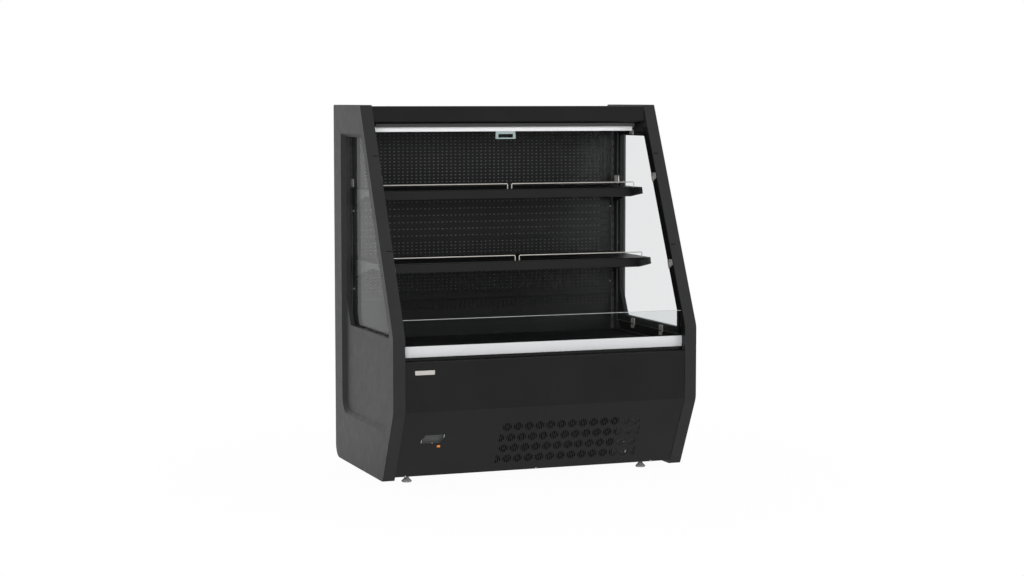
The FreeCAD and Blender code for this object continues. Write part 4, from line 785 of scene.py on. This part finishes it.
# ---------------------------------------------------------------- price rails
def price_rail(name, node, body):
    """Ticket rail that leans as the cabinet does, with a lip above and below and drawn-in ends."""
    low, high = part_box(node)
    rear, top, foot = high.y, high.z, low.z
    nose = rear - 0.0180
    profile = [(rear, top), (rear - 0.0030, top), (rear - 0.0041, top - 0.0010), (rear - 0.0036, top - 0.0030),
               (rear - 0.0026, top - 0.0036), (nose + 0.0022, foot + 0.0046), (nose + 0.0006, foot + 0.0042),
               (nose - 0.0003, foot + 0.0026), (nose, foot + 0.0008), (nose + 0.0016, foot),
               (nose + 0.0050, foot), (rear, foot + 0.0060)]
    # place from each end, share of the depth, share of the height
    stations = [(0.0, 0.45, 0.72), (0.012, 0.62, 0.78), (0.055, 1.0, 1.0)]
    stations = ([(low.x + reach, deep, tall) for reach, deep, tall in stations]
                + [(high.x - reach, deep, tall) for reach, deep, tall in reversed(stations)])
    bm = bmesh.new()
    rings = []
    for x, deep, tall in stations:
        rings.append([bm.verts.new((x, rear - (rear - y) * deep, top - (top - z) * tall)) for y, z in profile])
    stack(bm, rings)
    obj = add_object(name, finish_mesh(name, bm, fine_weld), "black_plastic", body, False)
    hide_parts(node)


price_rail("price_rail_upper_leaning", "price_rail_upper", "shelf_upper")
price_rail("price_rail_lower_leaning", "price_rail_lower", "shelf_lower")

# ---------------------------------------------------------------- controller window's bright edges
# polished collar where it shows in the window's two short edges, and the catch below its middle
slant_studs("controller_edges", [(-0.3958, 0.1130, 0.0020, 0.0150), (-0.4822, 0.1350, 0.0020, 0.0150),
                                 (-0.4385, 0.1428, 0.0040, 0.0014)],
            [(1.0, -0.0022), (1.0, -0.0004), (0.6, 0.0003)], "clip_steel", "stop_wire")


# ---------------------------------------------------------------- behind the grille
def grille_baffle(name, x0, x1, finish):
    """Folded plate that closes the space beside the condenser, behind the outer columns of slots."""
    down0, down1, gap, thick, flange = 0.062, 0.266, 0.0085, 0.0012, 0.012
    front, rear = -gap, -gap - flange
    loop = [(x0, rear), (x0, front), (x1, front), (x1, rear),
            (x1 - thick, rear), (x1 - thick, front - thick), (x0 + thick, front - thick), (x0 + thick, rear)]
    bm = bmesh.new()
    stack(bm, [[bm.verts.new(on_slant(x, down, out)) for x, out in loop] for down in (down0, down1)])
    add_object(name, finish_mesh(name, bm), "frame_steel", "cabinet", False, finish)


grille_baffle("grille_baffle", 0.3085, 0.4050, "baffle")
grille_baffle("grille_baffle_left", -0.1900, -0.1290, "seal_rubber_and_painted_shade")
# two small white ties' heads on the baffle
slant_studs("grille_plugs", [(0.3530, 0.1968, 0.008, 0.006), (0.3639, 0.2403, 0.007, 0.010)],
            [(1.0, -0.0085), (1.0, -0.0045), (0.7, -0.0035)], "lamp_white", "white_plug")
# black folded strip under the condenser that closes the view of the floor through the lowest slots: painted
# shade where the lit floor would show
shade_strip_outline = [(-0.2417, 0.0790), (-0.2417, 0.0540), (-0.2345, 0.0520), (-0.2342, 0.0530),
                 (-0.2405, 0.0548), (-0.2405, 0.0790)]
sweep_x("condenser_shade_strip", shade_strip_outline, -0.1290, 0.3490, "frame_steel", "cabinet", "seal_rubber_and_painted_shade")

# ---------------------------------------------------------------- floor, world and lights
ambient = 0.66
gloss_front = 0.40          # the studio as the object's gloss shows it: dim in front, white behind
gloss_back = 0.95
floor_glow_near = 0.97      # share of the floor that shows as plain white near the object; 1 further out
glow_range = (0.7, 1.9)     # distances from the middle between which that share rises


def light_masks(add):
    """Rays that show the background as white, and rays that show it in gloss."""
    path = add("LightPath")
    through = path.outputs["Is Transmission Ray"]
    seen = math_node(add, "MAXIMUM", path.outputs["Is Camera Ray"], through)
    mirrored = math_node(add, "SUBTRACT", path.outputs["Is Glossy Ray"], through)
    after_gloss = math_node(add, "GREATER_THAN", path.outputs["Glossy Depth"], 0.5)
    return seen, math_node(add, "MAXIMUM", mirrored, after_gloss)


def studio_world():
    world = bpy.data.worlds.new("studio")
    scene.world = world
    world.use_nodes = True
    world.node_tree.nodes.clear()
    add = adder(world.node_tree)
    seen, glossy = light_masks(add)
    plain = math_node(add, "MULTIPLY_ADD", seen, 1.0 - ambient, ambient)
    heading = add("SeparateXYZ", {0: add("TexCoord").outputs["Generated"]})
    sheen = spread(add, heading.outputs[1], gloss_front, gloss_back, -0.6, 0.1)
    gap = math_node(add, "SUBTRACT", sheen, plain)
    strength = math_node(add, "MULTIPLY_ADD", glossy, gap, plain)
    background = add("Background", {"Color": (1, 1, 1, 1), "Strength": strength})
    add("OutputWorld", {"Surface": background.outputs[0]})


def floor_material():
    material, add = start("floor")
    seen, glossy = light_masks(add)
    place = add("TexCoord").outputs["Object"]
    mottle = noise(add, place, 3.0, 4.0)
    tint = mix_colour(add, spread(add, mottle, 0.0, 1.0), (0.80, 0.80, 0.80), (0.83, 0.83, 0.83))
    plaster = add("BsdfDiffuse", {"Color": tint})
    behind = add("SeparateXYZ", {0: place}).outputs[1]
    sheen = spread(add, behind, gloss_front, gloss_back, -1.0, 1.0)
    dimmer = math_node(add, "SUBTRACT", sheen, 1.0)
    strength = math_node(add, "MULTIPLY_ADD", glossy, dimmer, 1.0)
    glow = add("Emission", {"Color": (1, 1, 1, 1), "Strength": strength})
    either = math_node(add, "MAXIMUM", seen, glossy)
    away = add("VectorMath", {0: place}, operation="LENGTH").outputs["Value"]
    share = math_node(add, "MULTIPLY", either, spread(add, away, floor_glow_near, 1.0, *glow_range))
    mixed = add("MixShader", {0: share, 1: plaster.outputs[0], 2: glow.outputs[0]})
    add("OutputMaterial", {"Surface": mixed.outputs[0]})
    return material


def make_floor(reach=30.0, steps=6):
    bm = bmesh.new()
    bmesh.ops.create_grid(bm, x_segments=steps, y_segments=steps, size=reach)
    mesh = bpy.data.meshes.new("floor")
    bm.to_mesh(mesh)
    bm.free()
    mesh.materials.append(floor_material())
    obj = bpy.data.objects.new("floor", mesh)
    scene.collection.objects.link(obj)


def area_light(name, place, target, size, power):
    light = bpy.data.lights.new(name, "AREA")
    light.shape = "RECTANGLE"
    light.size, light.size_y = size
    light.energy = power
    obj = bpy.data.objects.new(name, light)
    obj.location = place
    obj.rotation_euler = (Vector(target) - Vector(place)).to_track_quat("-Z", "Y").to_euler()
    obj.visible_glossy = False
    scene.collection.objects.link(obj)


studio_world()
make_floor()
area_light("key", (-3.4, -6.2, 2.3), (0, 0, 0.8), (3.4, 2.6), 190.0)
area_light("fill", (4.2, -4.2, 1.9), (0, 0, 0.8), (3.0, 2.4), 85.0)
area_light("back", (0.5, 4.5, 3.5), (0, 0, 0.9), (3.0, 2.5), 70.0)
